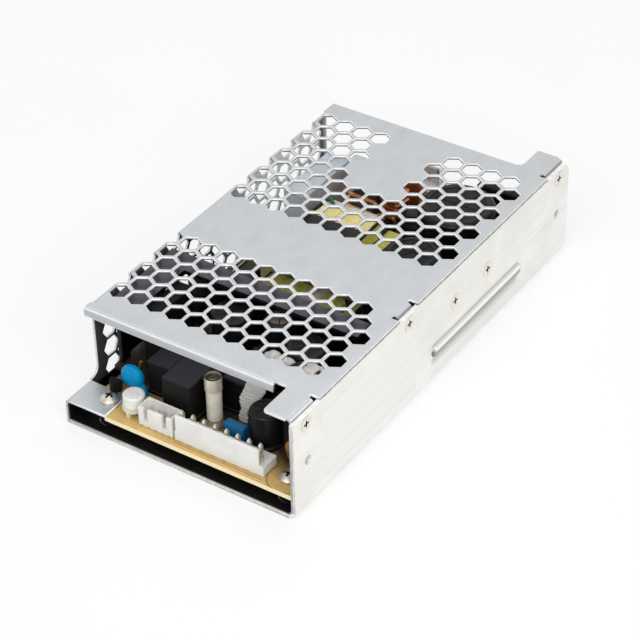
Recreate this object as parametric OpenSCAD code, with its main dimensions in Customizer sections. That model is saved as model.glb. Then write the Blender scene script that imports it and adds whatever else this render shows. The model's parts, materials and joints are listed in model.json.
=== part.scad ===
// Enclosed switch-mode power supply: a folded aluminium chassis carries a populated circuit board,
// and a folded, perforated steel cover closes its top and left side.
// X runs across the case, Y from the output end (front) to the input end (rear), Z up from the base.
// Positions along Y are measured from the front edge of the chassis.

/* [Case] */
// Width over the flat sides
case_w = 83; // [80:0.5:100]
// Length of the chassis
case_l = 159; // [157:1:200]
// Height over the cover
case_h = 35.5; // [35:0.5:50]

/* [Chassis] */
// Thickness of the aluminium sheet
chassis_t = 1.5; // [1:0.1:2]
// Outside radius of the bend between base and wall
chassis_bend = 2.4; // [2.1:0.1:3.5]
// Corner cut at the wall's upper rear corner
wall_corner = 2.5; // [1:0.5:5]
// Front end of the pressed rib on the wall
rib_front = 73.5; // [68:0.5:80]
// Rear end of the pressed rib
rib_rear = 129; // [115:0.5:135]
// Height of the rib's centre line
rib_z = 11.7; // [9:0.1:14]
// Width of the rib on the wall
rib_w = 4.8; // [4:0.1:7]
// How far the rib stands out of the wall
rib_out = 1.2; // [0.8:0.1:1.6]

/* [Mounting] */
// Diameter of the tapped mounting holes
mount_d = 3; // [2.5:0.1:4]
// Spacing of the base holes across the case
base_hole_x = 60; // [50:1:66]
// Spacing of the base holes along the case
base_hole_y = 110; // [90:1:120]
// Distance of the wall holes from either end of the chassis
side_hole_end = 7; // [6:0.5:10]
// Height of the wall holes
side_hole_z = 18; // [14:0.5:22]

/* [Cover] */
// Thickness of the steel sheet
cover_t = 0.8; // [0.6:0.1:1]
// Outside radius of the cover's bends
cover_bend = 1.5; // [1.2:0.1:2]
// Front face of the turned-down lip
cover_front = 12; // [9:0.5:14]
// Distance of the top panel's rear edge from the chassis' rear end
cover_rear_gap = 12; // [9:0.5:15]
// Height of the turned-down lip
lip_h = 3; // [2.2:0.1:5]
// Right end of the lip
lip_right = 26.5; // [20:0.5:28]
// Left edge of the two tongues beside the wall
tongue_x = 30.5; // [30:0.1:32]
// Gap from either chassis end to the tongues
tongue_gap = 1; // [0.5:0.1:2]
// Setback of the left side from the top panel's front lip
side_front_set = 3.5; // [2.5:0.5:6]
// Setback of the left side from the top panel's rear edge
side_rear_set = 5.5; // [3:0.5:8]
// Length of the two tabs screwed down on the board, along Y
board_tab_l = 11.3; // [10:0.1:12]
// Reach of those tabs past their screws
board_tab_past = 3.5; // [3.2:0.1:5]
// Height of the three screw tabs inside the wall
screw_tab_h = 8; // [7:0.1:10]
// Play between the screw tabs and the wall
tab_play = 0.1; // [0.05:0.05:0.3]

/* [Openings] */
// Width of a hexagonal opening across its flats
hex_w = 5.95; // [4:0.05:6.2]
// Spacing of openings in a row
hex_pitch = 6.95; // [6.5:0.05:9]
// Spacing of the rows
hex_row = 6.25; // [5.9:0.05:8]
// First row of openings in the top
hex_front = 24.5; // [22:0.5:30]
// Rightmost opening in the rows that reach furthest
hex_right = 35.45; // [33:0.05:36]
// Solid band across the top: its front edge
band_front = 58.5; // [50:0.5:65]
// Solid band across the top: its width
band_w = 26; // [15:0.5:40]
// Solid patch near the rear edge: its middle across the case
patch_x = -4.5; // [-10:0.5:5]
// Solid patch: its width
patch_w = 18.5; // [10:0.5:25]
// Solid patch: its front edge
patch_front = 109; // [100:0.5:120]
// First column of openings in the left side
side_hex_front = 22.4; // [21:0.1:26]
// Centre height of the lowest opening in the left side
side_hex_low = 8; // [7:0.1:12]

/* [Board] */
// Thickness of the circuit board
board_t = 1.6; // [1:0.1:2]
// Height of the standoffs under the board
standoff_h = 5; // [4:0.1:6]
// Gap between the board and the sheets beside it
board_side_gap = 0.3; // [0.2:0.1:0.6]
// Gap between the board's ends and the chassis' ends
board_end_gap = 0.6; // [0.3:0.1:2]
// Distance of the board screws from either end
board_hole_end = 6.7; // [5:0.1:7]
// Position of the left board screws across the case
board_hole_left = -30; // [-30.5:0.1:-29.5]
// Distance of the right board screws from the wall's outer face
board_hole_right = 6.6; // [6:0.1:8]
// Thickness of the insulating film on the base
film_t = 0.4; // [0.2:0.1:0.6]

/* [Screws] */
// Thread diameter of all screws
screw_d = 2.9; // [2.4:0.1:3]
// Head diameter of the pan-head board screws
pan_d = 5.8; // [5:0.1:6.4]
// Head height of the pan-head board screws
pan_h = 2.2; // [1.8:0.1:2.6]
// Thread length of the board screws
board_screw_l = 6; // [5:0.5:7]
// Head diameter of the countersunk screws
sunk_d = 5.2; // [4.6:0.1:5.4]
// Depth of the cover screws below the top
cover_screw_drop = 4.1; // [3.9:0.1:5.5]
// Position of the middle cover screw along the case
cover_screw_mid = 61.5; // [58:0.5:66]
// Distance of the outer cover screws from either end
cover_screw_end = 6.6; // [6:0.1:7.5]
// Thread length of the cover screws
cover_screw_l = 6; // [5:0.5:8]
// Radial play of screws in plain holes
screw_play = 0.15; // [0.1:0.05:0.3]

/* [Wall transistors] */
// Positions along the case of the two screws that clamp the power transistors
transistor_y = [88, 107.5];
// Height of those screws
transistor_z = 23.2; // [22:0.1:26]
// Thickness of the insulating pad behind each transistor
pad_t = 0.3; // [0.2:0.1:0.5]
// Width of a transistor package
transistor_w = 10; // [9:0.1:11]
// Thickness of a transistor's metal tab
transistor_tab_t = 1.3; // [1:0.1:1.5]
// Thickness of a transistor package
transistor_t = 4.5; // [4:0.1:5]
// Nut width across flats
nut_w = 5.5; // [5:0.1:6]
// Nut height
nut_h = 2.4; // [2:0.1:3]

/* [Connectors] */
// Contact pitch of the power headers
power_pitch = 3.96; // [3.9:0.01:4]
// Number of output contacts
output_count = 8; // [4:1:8]
// Left end of the output header
output_x = -3.2; // [-3.5:0.1:-1]
// Front face of the output header
output_y = 2.9; // [2:0.1:3.2]
// Depth of the power headers
power_depth = 7.2; // [6.5:0.1:7.6]
// Height of the power headers' locking wall above the board
power_wall_h = 9.4; // [7:0.1:11]
// Height of the power headers' base above the board
power_base_h = 3.6; // [3:0.1:4.5]
// Contact pitch of the signal header
signal_pitch = 2.5; // [2.4:0.01:2.54]
// Number of signal contacts
signal_count = 4; // [3:1:4]
// Right end of the signal header
signal_right = -3.9; // [-4.5:0.1:-3.7]
// Front face of the signal header
signal_y = 3; // [2.5:0.1:3.4]
// Height of the signal header above the board
signal_h = 7; // [6:0.1:8]

/* [Trimmer] */
// Position of the trimmer across the case
trimmer_x = -20.8; // [-21.5:0.1:-20]
// Position of the trimmer along the case
trimmer_y = 7.2; // [5:0.1:8]
// Diameter of the trimmer's base
trimmer_d = 7.4; // [6:0.1:7.6]
// Diameter of the turning cap
trimmer_cap_d = 6.7; // [5:0.1:7]
// Height of the turning cap
trimmer_cap_h = 3.9; // [3:0.1:5]

/* [Hidden] */
$fn = 48;
eps = 0.01;
// Clearance between pieces that seat in each other
fit = 0.05;
right = case_w / 2;
left = -right;
wall_in = right - chassis_t;
wall_top = case_h - cover_t;
side_in = left + cover_t;
board_z = chassis_t + standoff_h;
board_top = board_z + board_t;
// The board's left edge clears the bends of the tabs that turn in over it
board_left = left + cover_bend + board_side_gap / 3;
board_right = wall_in - board_side_gap;
board_tab_top = board_top + cover_t;
cover_rear = case_l - cover_rear_gap;
side_front = cover_front + side_front_set;
side_rear = cover_rear - side_rear_set;
tab_out = wall_in - tab_play;
// Width and length that the sizes and places of the parts on the board are drawn for
drawn_w = 83;
drawn_l = 159;
// Rows of parts keep their share of the length
function along(y) = y * case_l / drawn_l;
// Free height over the board
room = case_h - cover_t - board_top;
cover_screw_z = case_h - cover_screw_drop;
board_holes_x = [board_hole_left, right - board_hole_right * case_w / drawn_w];
board_tab_w = board_hole_left + board_tab_past - left;
board_holes_y = [board_hole_end, case_l - board_hole_end];
cover_screws_y = [cover_screw_end, cover_screw_mid, case_l - cover_screw_end];
// Depth of a countersunk head, kept inside the sheet
sunk_h = chassis_t - 0.2;
tail_l = 1.2;
power_pin = 1.1;
// Distance of the power contacts from the header's outer face
power_pin_set = 2.1;
signal_pin = 0.64;
output_w = output_count * power_pitch;
signal_w = (signal_count - 1) * signal_pitch + 4.9;
signal_depth = 5.75;

// Shared shapes

// Moves positions measured from the chassis' front edge into the centred frame
module in_case() translate([0, -case_l / 2, 0]) children();

// Stands a drawing of (y, z) upright, its thickness growing towards +X from x
module upright(x, t) translate([x, 0, 0]) rotate([90, 0, 90]) linear_extrude(t) children();

// Web left between a square corner at the origin and a circle of radius r
module corner_web(r) {
  difference() {
    square(r);
    translate([r, r]) circle(r);
  }
}

// Rectangle with small cut corners
module cut_rect(w, l, c) {
  polygon([[c, 0], [w - c, 0], [w, c], [w, l - c], [w - c, l], [c, l], [0, l - c], [0, c]]);
}

// Moulded box with every edge broken by c, standing on z = 0 with its corner at the origin
module cut_box(w, l, h, c) {
  intersection() {
    linear_extrude(h) cut_rect(w, l, c);
    translate([0, l, 0]) rotate([90, 0, 0]) linear_extrude(l) cut_rect(w, h, c);
    upright(0, w) cut_rect(l, h, c);
  }
}

// Quarter bend of a sheet t thick: from along +X at the top, round, to down at x = 0
module quarter_bend(r, t) {
  intersection() {
    difference() {
      translate([r, -r]) circle(r);
      translate([r, -r]) circle(r - t);
    }
    translate([0, -r]) square(r);
  }
  // a hair of each flat, so that bend and flats join
  translate([r - eps, -t]) square([2 * eps, t]);
  translate([0, -r - eps]) square([t, 2 * eps]);
}

// Hexagonal opening with its points along Y
module hexagon() rotate(30) circle(d = hex_w / cos(30), $fn = 6);

// Chassis

module chassis_profile() {
  translate([left, 0]) square([case_w - chassis_bend, chassis_t]);
  translate([wall_in, chassis_bend]) square([chassis_t, wall_top - chassis_bend]);
  translate([right, 0]) rotate(180) quarter_bend(chassis_bend, chassis_t);
}

// Rounded bar along Y whose surface stands out of the wall by rib_out, less `skin`
module rib_bar(skin) {
  r = ((rib_w / 2) ^ 2 + rib_out ^ 2) / (2 * rib_out);
  x = right + rib_out - r;
  intersection() {
    translate([x, 0, rib_z]) {
      translate([0, rib_front + r, 0]) rotate([-90, 0, 0]) cylinder(r = r - skin, h = rib_rear - rib_front - 2 * r);
      translate([0, rib_front + r, 0]) sphere(r - skin);
      translate([0, rib_rear - r, 0]) sphere(r - skin);
    }
    // the outer form starts inside the sheet, the pocket at its inner face
    translate([skin > 0 ? wall_in - eps : wall_in + chassis_t / 2, rib_front - rib_w, rib_z - rib_w])
      cube([2 * rib_w, rib_rear - rib_front + 2 * rib_w, 2 * rib_w]);
  }
}

// Plain hole through the wall with a countersink on its outer face
module sunk_hole(y, z) {
  translate([wall_in - eps, y, z]) rotate([0, 90, 0]) cylinder(d = screw_d + 2 * screw_play, h = chassis_t + 2 * eps);
  translate([right - sunk_h, y, z]) rotate([0, 90, 0])
    cylinder(d1 = screw_d + 2 * screw_play, d2 = sunk_d + 2 * screw_play, h = sunk_h + eps);
}

module chassis() {
  color("gainsboro") in_case() difference() {
    union() {
      translate([0, case_l, 0]) rotate([90, 0, 0]) linear_extrude(case_l) chassis_profile();
      rib_bar(0);
    }
    rib_bar(chassis_t);
    // cut corner at the top rear of the wall
    upright(wall_in - eps, chassis_t + 2 * eps) translate([case_l, wall_top])
      polygon([[-wall_corner - 1, 1], [1, 1], [1, -wall_corner - 1]]);
    for (y = [side_hole_end, case_l - side_hole_end])
      translate([wall_in - eps, y, side_hole_z]) rotate([0, 90, 0]) cylinder(d = mount_d, h = chassis_t + 2 * eps);
    for (x = [-1, 1], y = [-1, 1])
      translate([x * base_hole_x / 2, case_l / 2 + y * base_hole_y / 2, -eps])
        cylinder(d = mount_d, h = chassis_t + 2 * eps);
    for (x = board_holes_x, y = board_holes_y)
      translate([x, y, -eps]) cylinder(d = standoff_foot_d, h = chassis_t + 2 * eps);
    for (y = cover_screws_y) sunk_hole(y, cover_screw_z);
    for (y = transistor_y) sunk_hole(y, transistor_z);
  }
}

// Cover

// Rows of openings follow one lattice: every other row is moved by half a pitch
hex_rows = floor((cover_rear - hex_w - hex_front) / hex_row);
hex_cols = floor((hex_right - left - cover_bend) / hex_pitch);
function row_y(i) = hex_front + i * hex_row;
function row_shift(i) = i % 2 == 0 ? hex_pitch / 2 : 0;
function in_band(y) = y > band_front && y < band_front + band_w;
function in_patch(x, y) = y > patch_front && abs(x - patch_x) < patch_w / 2;
function near_tab(x, y) = norm([tab_out - x, cover_screw_mid - y]) < hex_pitch + hex_w / 8;
function is_open(x, y) = !in_band(y) && !in_patch(x, y) && !near_tab(x, y);

module top_openings() {
  for (i = [0 : hex_rows], j = [0 : hex_cols]) {
    x = hex_right - row_shift(i) - j * hex_pitch;
    if (is_open(x, row_y(i)) && x - hex_w / 2 > left + cover_t) translate([x, row_y(i)]) hexagon();
  }
}

// Openings of the shifted rows that run over the left bend
fold_x = hex_right - (hex_cols + 1) * hex_pitch;
fold_rows = [for (i = [1 : 2 : hex_rows]) if (!in_band(row_y(i))) row_y(i)];
// Depth below the top at which such an opening is centred on the left side, the bend laid out flat
fold_drop = fold_x - left + 2 * cover_bend - PI / 2 * (cover_bend - cover_t / 2);

module fold_cutters() {
  for (y = fold_rows) {
    translate([fold_x, y, case_h - cover_bend - cover_t]) linear_extrude(cover_bend + cover_t + eps) hexagon();
    upright(left - eps, cover_bend + 2 * eps) translate([y, case_h - cover_bend + fold_x - left]) hexagon_side();
  }
}

// The same opening drawn in (y, z), its points along Y
module hexagon_side() circle(d = hex_w / cos(30), $fn = 6);

// Least web between an opening in the left side and those in the bend
fold_web = 0.3;
function clear_of_fold(y, z) =
  min([for (f = fold_rows) norm([y - f, z - case_h + fold_drop])]) > hex_w + fold_web;

module side_openings() {
  count = floor((side_rear - side_hex_front - hex_w / 2) / hex_row);
  for (i = [0 : count], k = [0 : 3]) {
    z = side_hex_low + (k + (i % 2) / 2) * hex_pitch;
    y = side_hex_front + i * hex_row;
    if (z + hex_w / 2 < case_h - cover_bend - 1.5 && clear_of_fold(y, z)) translate([y, z]) hexagon_side();
  }
}

tab_spans = [
  [tongue_gap, cover_screw_end + hex_w + cover_t],
  [cover_screw_mid - 4.5, cover_screw_mid + 4.5],
  [case_l - cover_screw_end - hex_w - cover_t, case_l - tongue_gap]
];

module top_panel() {
  edge = right - 0.3;
  notch = 1.3;
  difference() {
    union() {
      translate([left + cover_bend, cover_front + cover_bend])
        square([edge - left - cover_bend, cover_rear - cover_front - cover_bend]);
      for (y = [cover_front + cover_bend, side_rear])
        translate([left + fit, y]) square([cover_bend, y == side_rear ? cover_rear - y : side_front - y]);
      translate([tongue_x, tongue_gap]) square([edge - tongue_x, case_l - 2 * tongue_gap]);
      translate([tongue_x, cover_front + cover_bend]) mirror([1, 1]) corner_web(cover_bend / 2);
      translate([tongue_x, cover_rear]) mirror([1, 0]) corner_web(2.5);
    }
    // rounded outer corners of the tongues
    translate([tongue_x, tongue_gap]) corner_web(1.2);
    translate([tongue_x, case_l - tongue_gap]) mirror([0, 1]) corner_web(0.8);
    // the sheet stops short where a screw tab turns down, with a relief notch at each end
    for (s = tab_spans) {
      translate([tab_out - cover_bend, s[0] - eps]) square([case_w, s[1] - s[0] + 2 * eps]);
      for (y = s) translate([tab_out - cover_bend - 0.3, y - notch / 2]) square([case_w, notch]);
    }
    top_openings();
    for (y = fold_rows) translate([fold_x, y]) hexagon();
  }
}

module left_side() {
  strip_top = board_tab_top - cover_bend;
  r = 3;
  difference() {
    union() {
      translate([side_front, chassis_t]) square([side_rear - side_front, case_h - cover_bend - chassis_t]);
      translate([0, chassis_t]) square([case_l, strip_top - chassis_t]);
      translate([board_tab_l + 0.6, chassis_t])
        square([case_l - 2 * board_tab_l - 1.2, board_tab_top - chassis_t]);
      translate([side_front, board_tab_top]) mirror([1, 0]) corner_web(r);
      translate([side_rear, board_tab_top]) corner_web(r);
    }
    side_openings();
    for (y = fold_rows) translate([y, case_h - fold_drop]) hexagon_side();
  }
}

// Horizontal tab bent in from the left side, screwed down with the board
module board_tab(y) {
  translate([0, y + board_tab_l, 0]) rotate([90, 0, 0]) linear_extrude(board_tab_l) {
    translate([left, board_tab_top]) quarter_bend(cover_bend, cover_t);
    translate([left + cover_bend, board_top]) square([board_tab_w - cover_bend, cover_t]);
  }
}

// Tab bent down inside the wall, with a tapped hole for its screw
module screw_tab(span, y) {
  w = span[1] - span[0] - 1.3;
  translate([0, span[0] + 0.65 + w, 0]) rotate([90, 0, 0]) linear_extrude(w)
    translate([tab_out, case_h]) mirror([1, 0]) quarter_bend(cover_bend, cover_t);
  upright(tab_out - cover_t, cover_t) difference() {
    translate([span[0] + 0.65, case_h - screw_tab_h]) square([w, screw_tab_h - cover_bend]);
    translate([y, cover_screw_z]) circle(d = screw_d + 2 * fit);
  }
}

module cover() {
  color("silver") in_case() difference() {
    union() {
      translate([0, 0, case_h - cover_t]) linear_extrude(cover_t) top_panel();
      upright(left, cover_t) left_side();
      // bend between top and left side
      translate([0, side_rear, 0]) rotate([90, 0, 0]) linear_extrude(side_rear - side_front)
        translate([left, case_h]) quarter_bend(cover_bend, cover_t);
      // front lip
      translate([left + fit, cover_front, case_h]) rotate([90, 0, 90]) linear_extrude(lip_right - left - fit) {
        quarter_bend(cover_bend, cover_t);
        translate([0, -lip_h]) square([cover_t, lip_h - cover_bend]);
      }
      board_tab(0);
      board_tab(case_l - board_tab_l);
      for (i = [0 : 2]) screw_tab(tab_spans[i], cover_screws_y[i]);
    }
    fold_cutters();
    for (y = board_holes_y)
      translate([board_holes_x[0], y, board_top - eps]) cylinder(d = screw_d + 4 * screw_play, h = cover_t + 2 * eps);
  }
}

// Board and its seats

standoff_d = 6;
standoff_foot_d = 4.2;

module insulation_film() {
  far = right - chassis_bend - 0.2;
  color("black") in_case() difference() {
    translate([0, case_l - 0.2, 0]) rotate([90, 0, 0]) linear_extrude(case_l - 0.4) {
      translate([side_in + fit, chassis_t]) square([far - side_in - fit, film_t]);
      translate([side_in + fit, chassis_t]) square([film_t, standoff_h - 0.3]);
    }
    for (x = board_holes_x, y = board_holes_y)
      translate([x, y, 0]) cylinder(d = standoff_d + 1, h = board_z);
    for (x = [-1, 1], y = [-1, 1])
      translate([x * base_hole_x / 2, case_l / 2 + y * base_hole_y / 2, 0]) cylinder(d = 2 * mount_d, h = board_z);
  }
}

module standoffs() {
  color("lightgray") in_case() for (x = board_holes_x, y = board_holes_y) translate([x, y, 0]) difference() {
    union() {
      translate([0, 0, chassis_t]) cylinder(d = standoff_d, h = standoff_h);
      cylinder(d = standoff_foot_d - 2 * fit, h = chassis_t + eps);
    }
    translate([0, 0, -eps]) cylinder(d = screw_d + 2 * fit, h = board_z + 2 * eps);
  }
}

output_pin_x = [for (i = [0 : output_count - 1]) output_x + (i + 0.5) * power_pitch];
output_pin_y = output_y + power_pin_set;
signal_pin_x = [for (i = [0 : signal_count - 1]) signal_right - 2.45 - i * signal_pitch];
signal_pin_y = signal_y + 3.4;
// The input header has five places and contacts in every other one
input_count = 5;
input_x = -22;
input_y = case_l - output_y;
input_pin_x = [for (i = [0 : 2 : input_count - 1]) input_x + (i + 0.5) * power_pitch];
input_pin_y = case_l - output_pin_y;

// Cut-outs at the board's front left corner: beside the cover's side, and under the end of its tab
side_cut_x = -35.5;
side_cut_l = 22;
tab_cut_x = -27.2;
tab_cut_l = 2.4;

module circuit_board() {
  color("tan") in_case() translate([0, 0, board_z]) linear_extrude(board_t) difference() {
    translate([board_left, board_end_gap]) square([board_right - board_left, case_l - 2 * board_end_gap]);
    translate([left, 0]) square([side_cut_x - left, side_cut_l]);
    translate([left, 0]) square([tab_cut_x - left, tab_cut_l]);
    for (x = board_holes_x, y = board_holes_y) translate([x, y]) circle(d = screw_d + 2 * screw_play);
    for (x = output_pin_x) translate([x, output_pin_y]) circle(d = power_pin * sqrt(2) + 2 * fit);
    for (x = input_pin_x) translate([x, input_pin_y]) circle(d = power_pin * sqrt(2) + 2 * fit);
    for (x = signal_pin_x) translate([x, signal_pin_y]) circle(d = signal_pin * sqrt(2) + 2 * fit);
  }
}

// Screws and nuts

// Crossed driver recess, its mouth at z = 0
module cross_recess(w) {
  for (a = [0, 90]) rotate(a) translate([-w / 2, -w / 8, -w / 3]) cube([w, w / 4, w / 3 + eps]);
}

module pan_screw() {
  dome = (pan_d / 2) ^ 2 / pan_h;
  difference() {
    union() {
      translate([0, 0, -board_screw_l]) cylinder(d = screw_d, h = board_screw_l + eps);
      intersection() {
        cylinder(d = pan_d, h = pan_h);
        translate([0, 0, pan_h - dome]) sphere(dome);
      }
    }
    translate([0, 0, pan_h]) cross_recess(pan_d / 2);
  }
}

// Countersunk screw along -X with its flat head at x = 0
module sunk_screw(l) {
  rotate([0, 90, 0]) difference() {
    union() {
      translate([0, 0, -l]) cylinder(d = screw_d, h = l);
      translate([0, 0, -sunk_h + fit]) cylinder(d1 = screw_d, d2 = sunk_d, h = sunk_h - fit);
    }
    cross_recess(sunk_d / 2);
  }
}

module board_screws() {
  color("silver") in_case() for (y = board_holes_y) {
    translate([board_holes_x[0], y, board_tab_top]) pan_screw();
    translate([board_holes_x[1], y, board_top]) pan_screw();
  }
}

module cover_screws() {
  color("darkkhaki") in_case() for (y = cover_screws_y) translate([right, y, cover_screw_z]) sunk_screw(cover_screw_l);
}

transistor_back = wall_in - pad_t;
nut_back = transistor_back - transistor_tab_t;

module transistor_screws() {
  l = right - nut_back + nut_h + 0.8;
  color("darkkhaki") in_case() for (y = transistor_y) translate([right, y, transistor_z]) sunk_screw(l);
}

module transistor_nuts() {
  color("silver") in_case() for (y = transistor_y)
    translate([nut_back - nut_h, y, transistor_z]) rotate([0, 90, 0]) difference() {
      cylinder(d = nut_w / cos(30), h = nut_h, $fn = 6);
      translate([0, 0, -eps]) cylinder(d = screw_d + 2 * fit, h = nut_h + 2 * eps);
    }
}

// Wall transistors

// Package with a drilled metal tab against the wall, and three legs down to the board
module wall_transistor(y) {
  tab_up = 2.8;
  tab_l = 6.4;
  body_l = 9.2;
  body_top = transistor_z + tab_up - tab_l;
  leg = 0.8;
  upright(transistor_back - transistor_tab_t, transistor_tab_t) difference() {
    translate([y - transistor_w / 2, body_top - body_l + 1])
      cut_rect(transistor_w, tab_l + body_l - 1, 0.6);
    translate([y, transistor_z]) circle(d = screw_d + 2 * screw_play);
  }
  translate([transistor_back - transistor_t, y - transistor_w / 2, body_top - body_l])
    cut_box(transistor_t - transistor_tab_t / 2, transistor_w, body_l, 0.4);
  for (i = [-1, 0, 1])
    translate([transistor_back - transistor_t * 0.6, y + i * 2.54 - leg / 2, board_top])
      cube([leg * 0.6, leg, body_top - body_l - board_top + 1]);
}

module wall_pad(y) {
  upright(transistor_back, pad_t) difference() {
    translate([y - transistor_w / 2 - 1, transistor_z - 14]) cut_rect(transistor_w + 2, 18.5, 1);
    translate([y, transistor_z]) circle(d = screw_d + 2 * screw_play);
  }
}

module switch_transistor() { color("dimgray") in_case() wall_transistor(transistor_y[1]); }
module output_rectifier() { color("dimgray") in_case() wall_transistor(transistor_y[0]); }
module switch_pad() { color("lightgray") in_case() wall_pad(transistor_y[1]); }
module rectifier_pad() { color("lightgray") in_case() wall_pad(transistor_y[0]); }

// Headers

// Power header: a low base under a tall locking wall on the outer side (y = 0)
module power_header(count, pin_y, pins) {
  w = count * power_pitch;
  wall = 1.2;
  // the wall stops short of the base's ends
  wall_in_left = 0.5;
  wall_in_right = 1.5;
  difference() {
    union() {
      cut_box(w, power_depth, power_base_h, 0.3);
      translate([wall_in_left, 0, 0]) cut_box(w - wall_in_left - wall_in_right, wall, power_wall_h, 0.3);
      translate([wall_in_left, 0, 0])
        cut_box(w - wall_in_left - wall_in_right, wall + 0.3, power_wall_h * 0.62, 0.3);
    }
    for (x = pins) translate([x - power_pin / 2 - fit, pin_y - power_pin / 2 - fit, -eps])
      cube([power_pin + 2 * fit, power_pin + 2 * fit, power_base_h + 2 * eps]);
    // feet between cut-outs under the base
    for (i = [0 : count - 1]) translate([(i + 0.5) * power_pitch - 1, -eps, -eps])
      cube([2, power_depth + 2 * eps, 0.4]);
    // window in the locking wall behind each contact
    for (i = [0 : count - 1]) translate([(i + 0.5) * power_pitch - 0.6, wall * 0.55, power_base_h])
      cube([1.2, wall, power_wall_h - power_base_h - 1.2]);
  }
}

// Square contact with a chamfered tip and a tail through the board
module contact(side, top) {
  tip = side * 0.8;
  translate([-side / 2, -side / 2, board_z - tail_l]) cube([side, side, top - tip - board_z + tail_l]);
  translate([0, 0, top - tip]) linear_extrude(tip, scale = 0.45) square(side, center = true);
}

power_pin_top = board_top + power_wall_h + 1.2;

module output_header() {
  color("whitesmoke") in_case() translate([output_x, output_y, board_top])
    power_header(output_count, output_pin_y - output_y, [for (x = output_pin_x) x - output_x]);
}

module output_pins() {
  color("khaki") in_case() for (x = output_pin_x) translate([x, output_pin_y, 0]) contact(power_pin, power_pin_top);
}

module input_header() {
  color("whitesmoke") in_case() translate([input_x, input_y, board_top]) mirror([0, 1, 0])
    power_header(input_count, input_y - input_pin_y, [for (x = input_pin_x) x - input_x]);
}

module input_pins() {
  color("khaki") in_case() for (x = input_pin_x) translate([x, input_pin_y, 0]) contact(power_pin, power_pin_top);
}

// Signal header: an open shroud round its contacts, slotted on the front
module signal_header() {
  wall = 0.9;
  floor_h = 2.2;
  color("whitesmoke") in_case() translate([signal_right - signal_w, signal_y, board_top]) difference() {
    cut_box(signal_w, signal_depth, signal_h, 0.25);
    translate([wall, wall, floor_h]) cube([signal_w - 2 * wall, signal_depth - 2 * wall, signal_h]);
    for (x = [2, signal_w - 3.6]) translate([x, -eps, floor_h]) cube([1.6, wall + 2 * eps, signal_h]);
    for (x = signal_pin_x)
      translate([x - signal_right + signal_w - signal_pin / 2 - fit, signal_pin_y - signal_y - signal_pin / 2 - fit, -eps])
        cube([signal_pin + 2 * fit, signal_pin + 2 * fit, floor_h + 2 * eps]);
    for (i = [0 : signal_count]) translate([i * signal_pitch + 0.6, -eps, -eps]) cube([1.2, signal_depth + 1, 0.5]);
  }
}

module signal_pins() {
  color("khaki") in_case() for (x = signal_pin_x)
    translate([x, signal_pin_y, 0]) contact(signal_pin, board_top + signal_h - 1);
}

// Trimmer: a turning cap on a footed base

trimmer_foot_h = 1.9;
trimmer_ring_h = 1.3;
trimmer_pivot_d = 3;
trimmer_seat = board_top + trimmer_foot_h + trimmer_ring_h;

module trimmer_base() {
  color("ivory") in_case() translate([trimmer_x, trimmer_y, board_top]) difference() {
    union() {
      translate([0, 0, trimmer_foot_h]) cylinder(d = trimmer_d, h = trimmer_ring_h);
      for (a = [-90, 0, 90, 180]) rotate(a) intersection() {
        translate([trimmer_d / 2 - 1.4, -0.6, 0]) cube([1.2, 1.2, trimmer_foot_h + eps]);
        cylinder(d = trimmer_d, h = trimmer_foot_h + eps);
      }
    }
    translate([0, 0, trimmer_foot_h - eps])
      cylinder(d = trimmer_pivot_d + 2 * fit, h = trimmer_ring_h + 2 * eps);
  }
}

module trimmer_cap() {
  round = 0.5;
  color("white") in_case() translate([trimmer_x, trimmer_y, trimmer_seat + 2 * fit]) difference() {
    union() {
      cylinder(d = trimmer_cap_d, h = trimmer_cap_h - round);
      translate([0, 0, trimmer_cap_h - round]) cylinder(d1 = trimmer_cap_d, d2 = trimmer_cap_d - 2 * round, h = round);
      translate([0, 0, -trimmer_ring_h]) cylinder(d = trimmer_pivot_d, h = trimmer_ring_h + eps);
    }
    translate([-trimmer_cap_d * 0.3, -0.4, trimmer_cap_h - 0.6]) cube([trimmer_cap_d * 0.6, 0.8, 1]);
  }
}

// Radial parts

// Disc on two coated legs, its flat faces along Y, standing on the board; wide legs lean in to the disc
module disc(d, t, lift, spread) {
  edge = t / 2;
  reach = max(0, spread / 2 - d * 0.3);
  rise = lift * 0.4 + d * 0.25;
  translate([0, 0, lift + d / 2]) rotate([90, 0, 0]) rotate_extrude() {
    translate([0, -edge]) square([d / 2 - edge, t]);
    intersection() {
      translate([d / 2 - edge, 0]) circle(edge);
      translate([0, -edge]) square([d, t]);
    }
  }
  for (s = [-1, 1]) translate([s * spread / 2, 0, 0]) {
    cylinder(d = 0.8, h = lift * 0.6 + (reach > 0 ? 0.5 : lift * 0.4 + d * 0.3));
    translate([0, 0, lift * 0.6]) rotate([0, -s * atan2(reach, rise), 0])
      cylinder(d1 = 0.8, d2 = 1.8, h = norm([reach, rise]));
  }
}

module disc_capacitor() { color("deepskyblue") in_case() translate([-26.8, 14.6, board_top]) disc(8, 3.6, 2, 9.5); }
module ceramic_capacitor() { color("peru") in_case() translate([31, 14.5, board_top]) disc(5, 2.4, 1.6, 3); }
module varistor() { color("darkred") in_case() translate([9.5, along(136), board_top]) disc(14, 4.6, 2.4, 7.5); }
module thermistor() { color("saddlebrown") in_case() translate([-6, thermistor_y, board_top]) disc(12, thermistor_t, 2.4, 6); }

// Upright electrolytic can: rolled groove near the foot, shrunk sleeve over the rim, scored vent on top
module electrolytic(d, h) {
  r = d / 2;
  rim = d * 0.08;
  groove_z = h * 0.09 + 0.8;
  difference() {
    rotate_extrude() difference() {
      square([r, h]);
      translate([r, h]) mirror([1, 1]) corner_web(rim);
      translate([r + rim * 0.7, groove_z]) circle(rim * 1.4);
    }
    translate([0, 0, h - 0.25]) cylinder(d = d - 3.2 * rim, h = 1);
    for (a = [0, 60, 120]) rotate(a) translate([-d * 0.3, -0.15, h - 0.5]) cube([d * 0.6, 0.3, 1]);
  }
}

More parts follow.
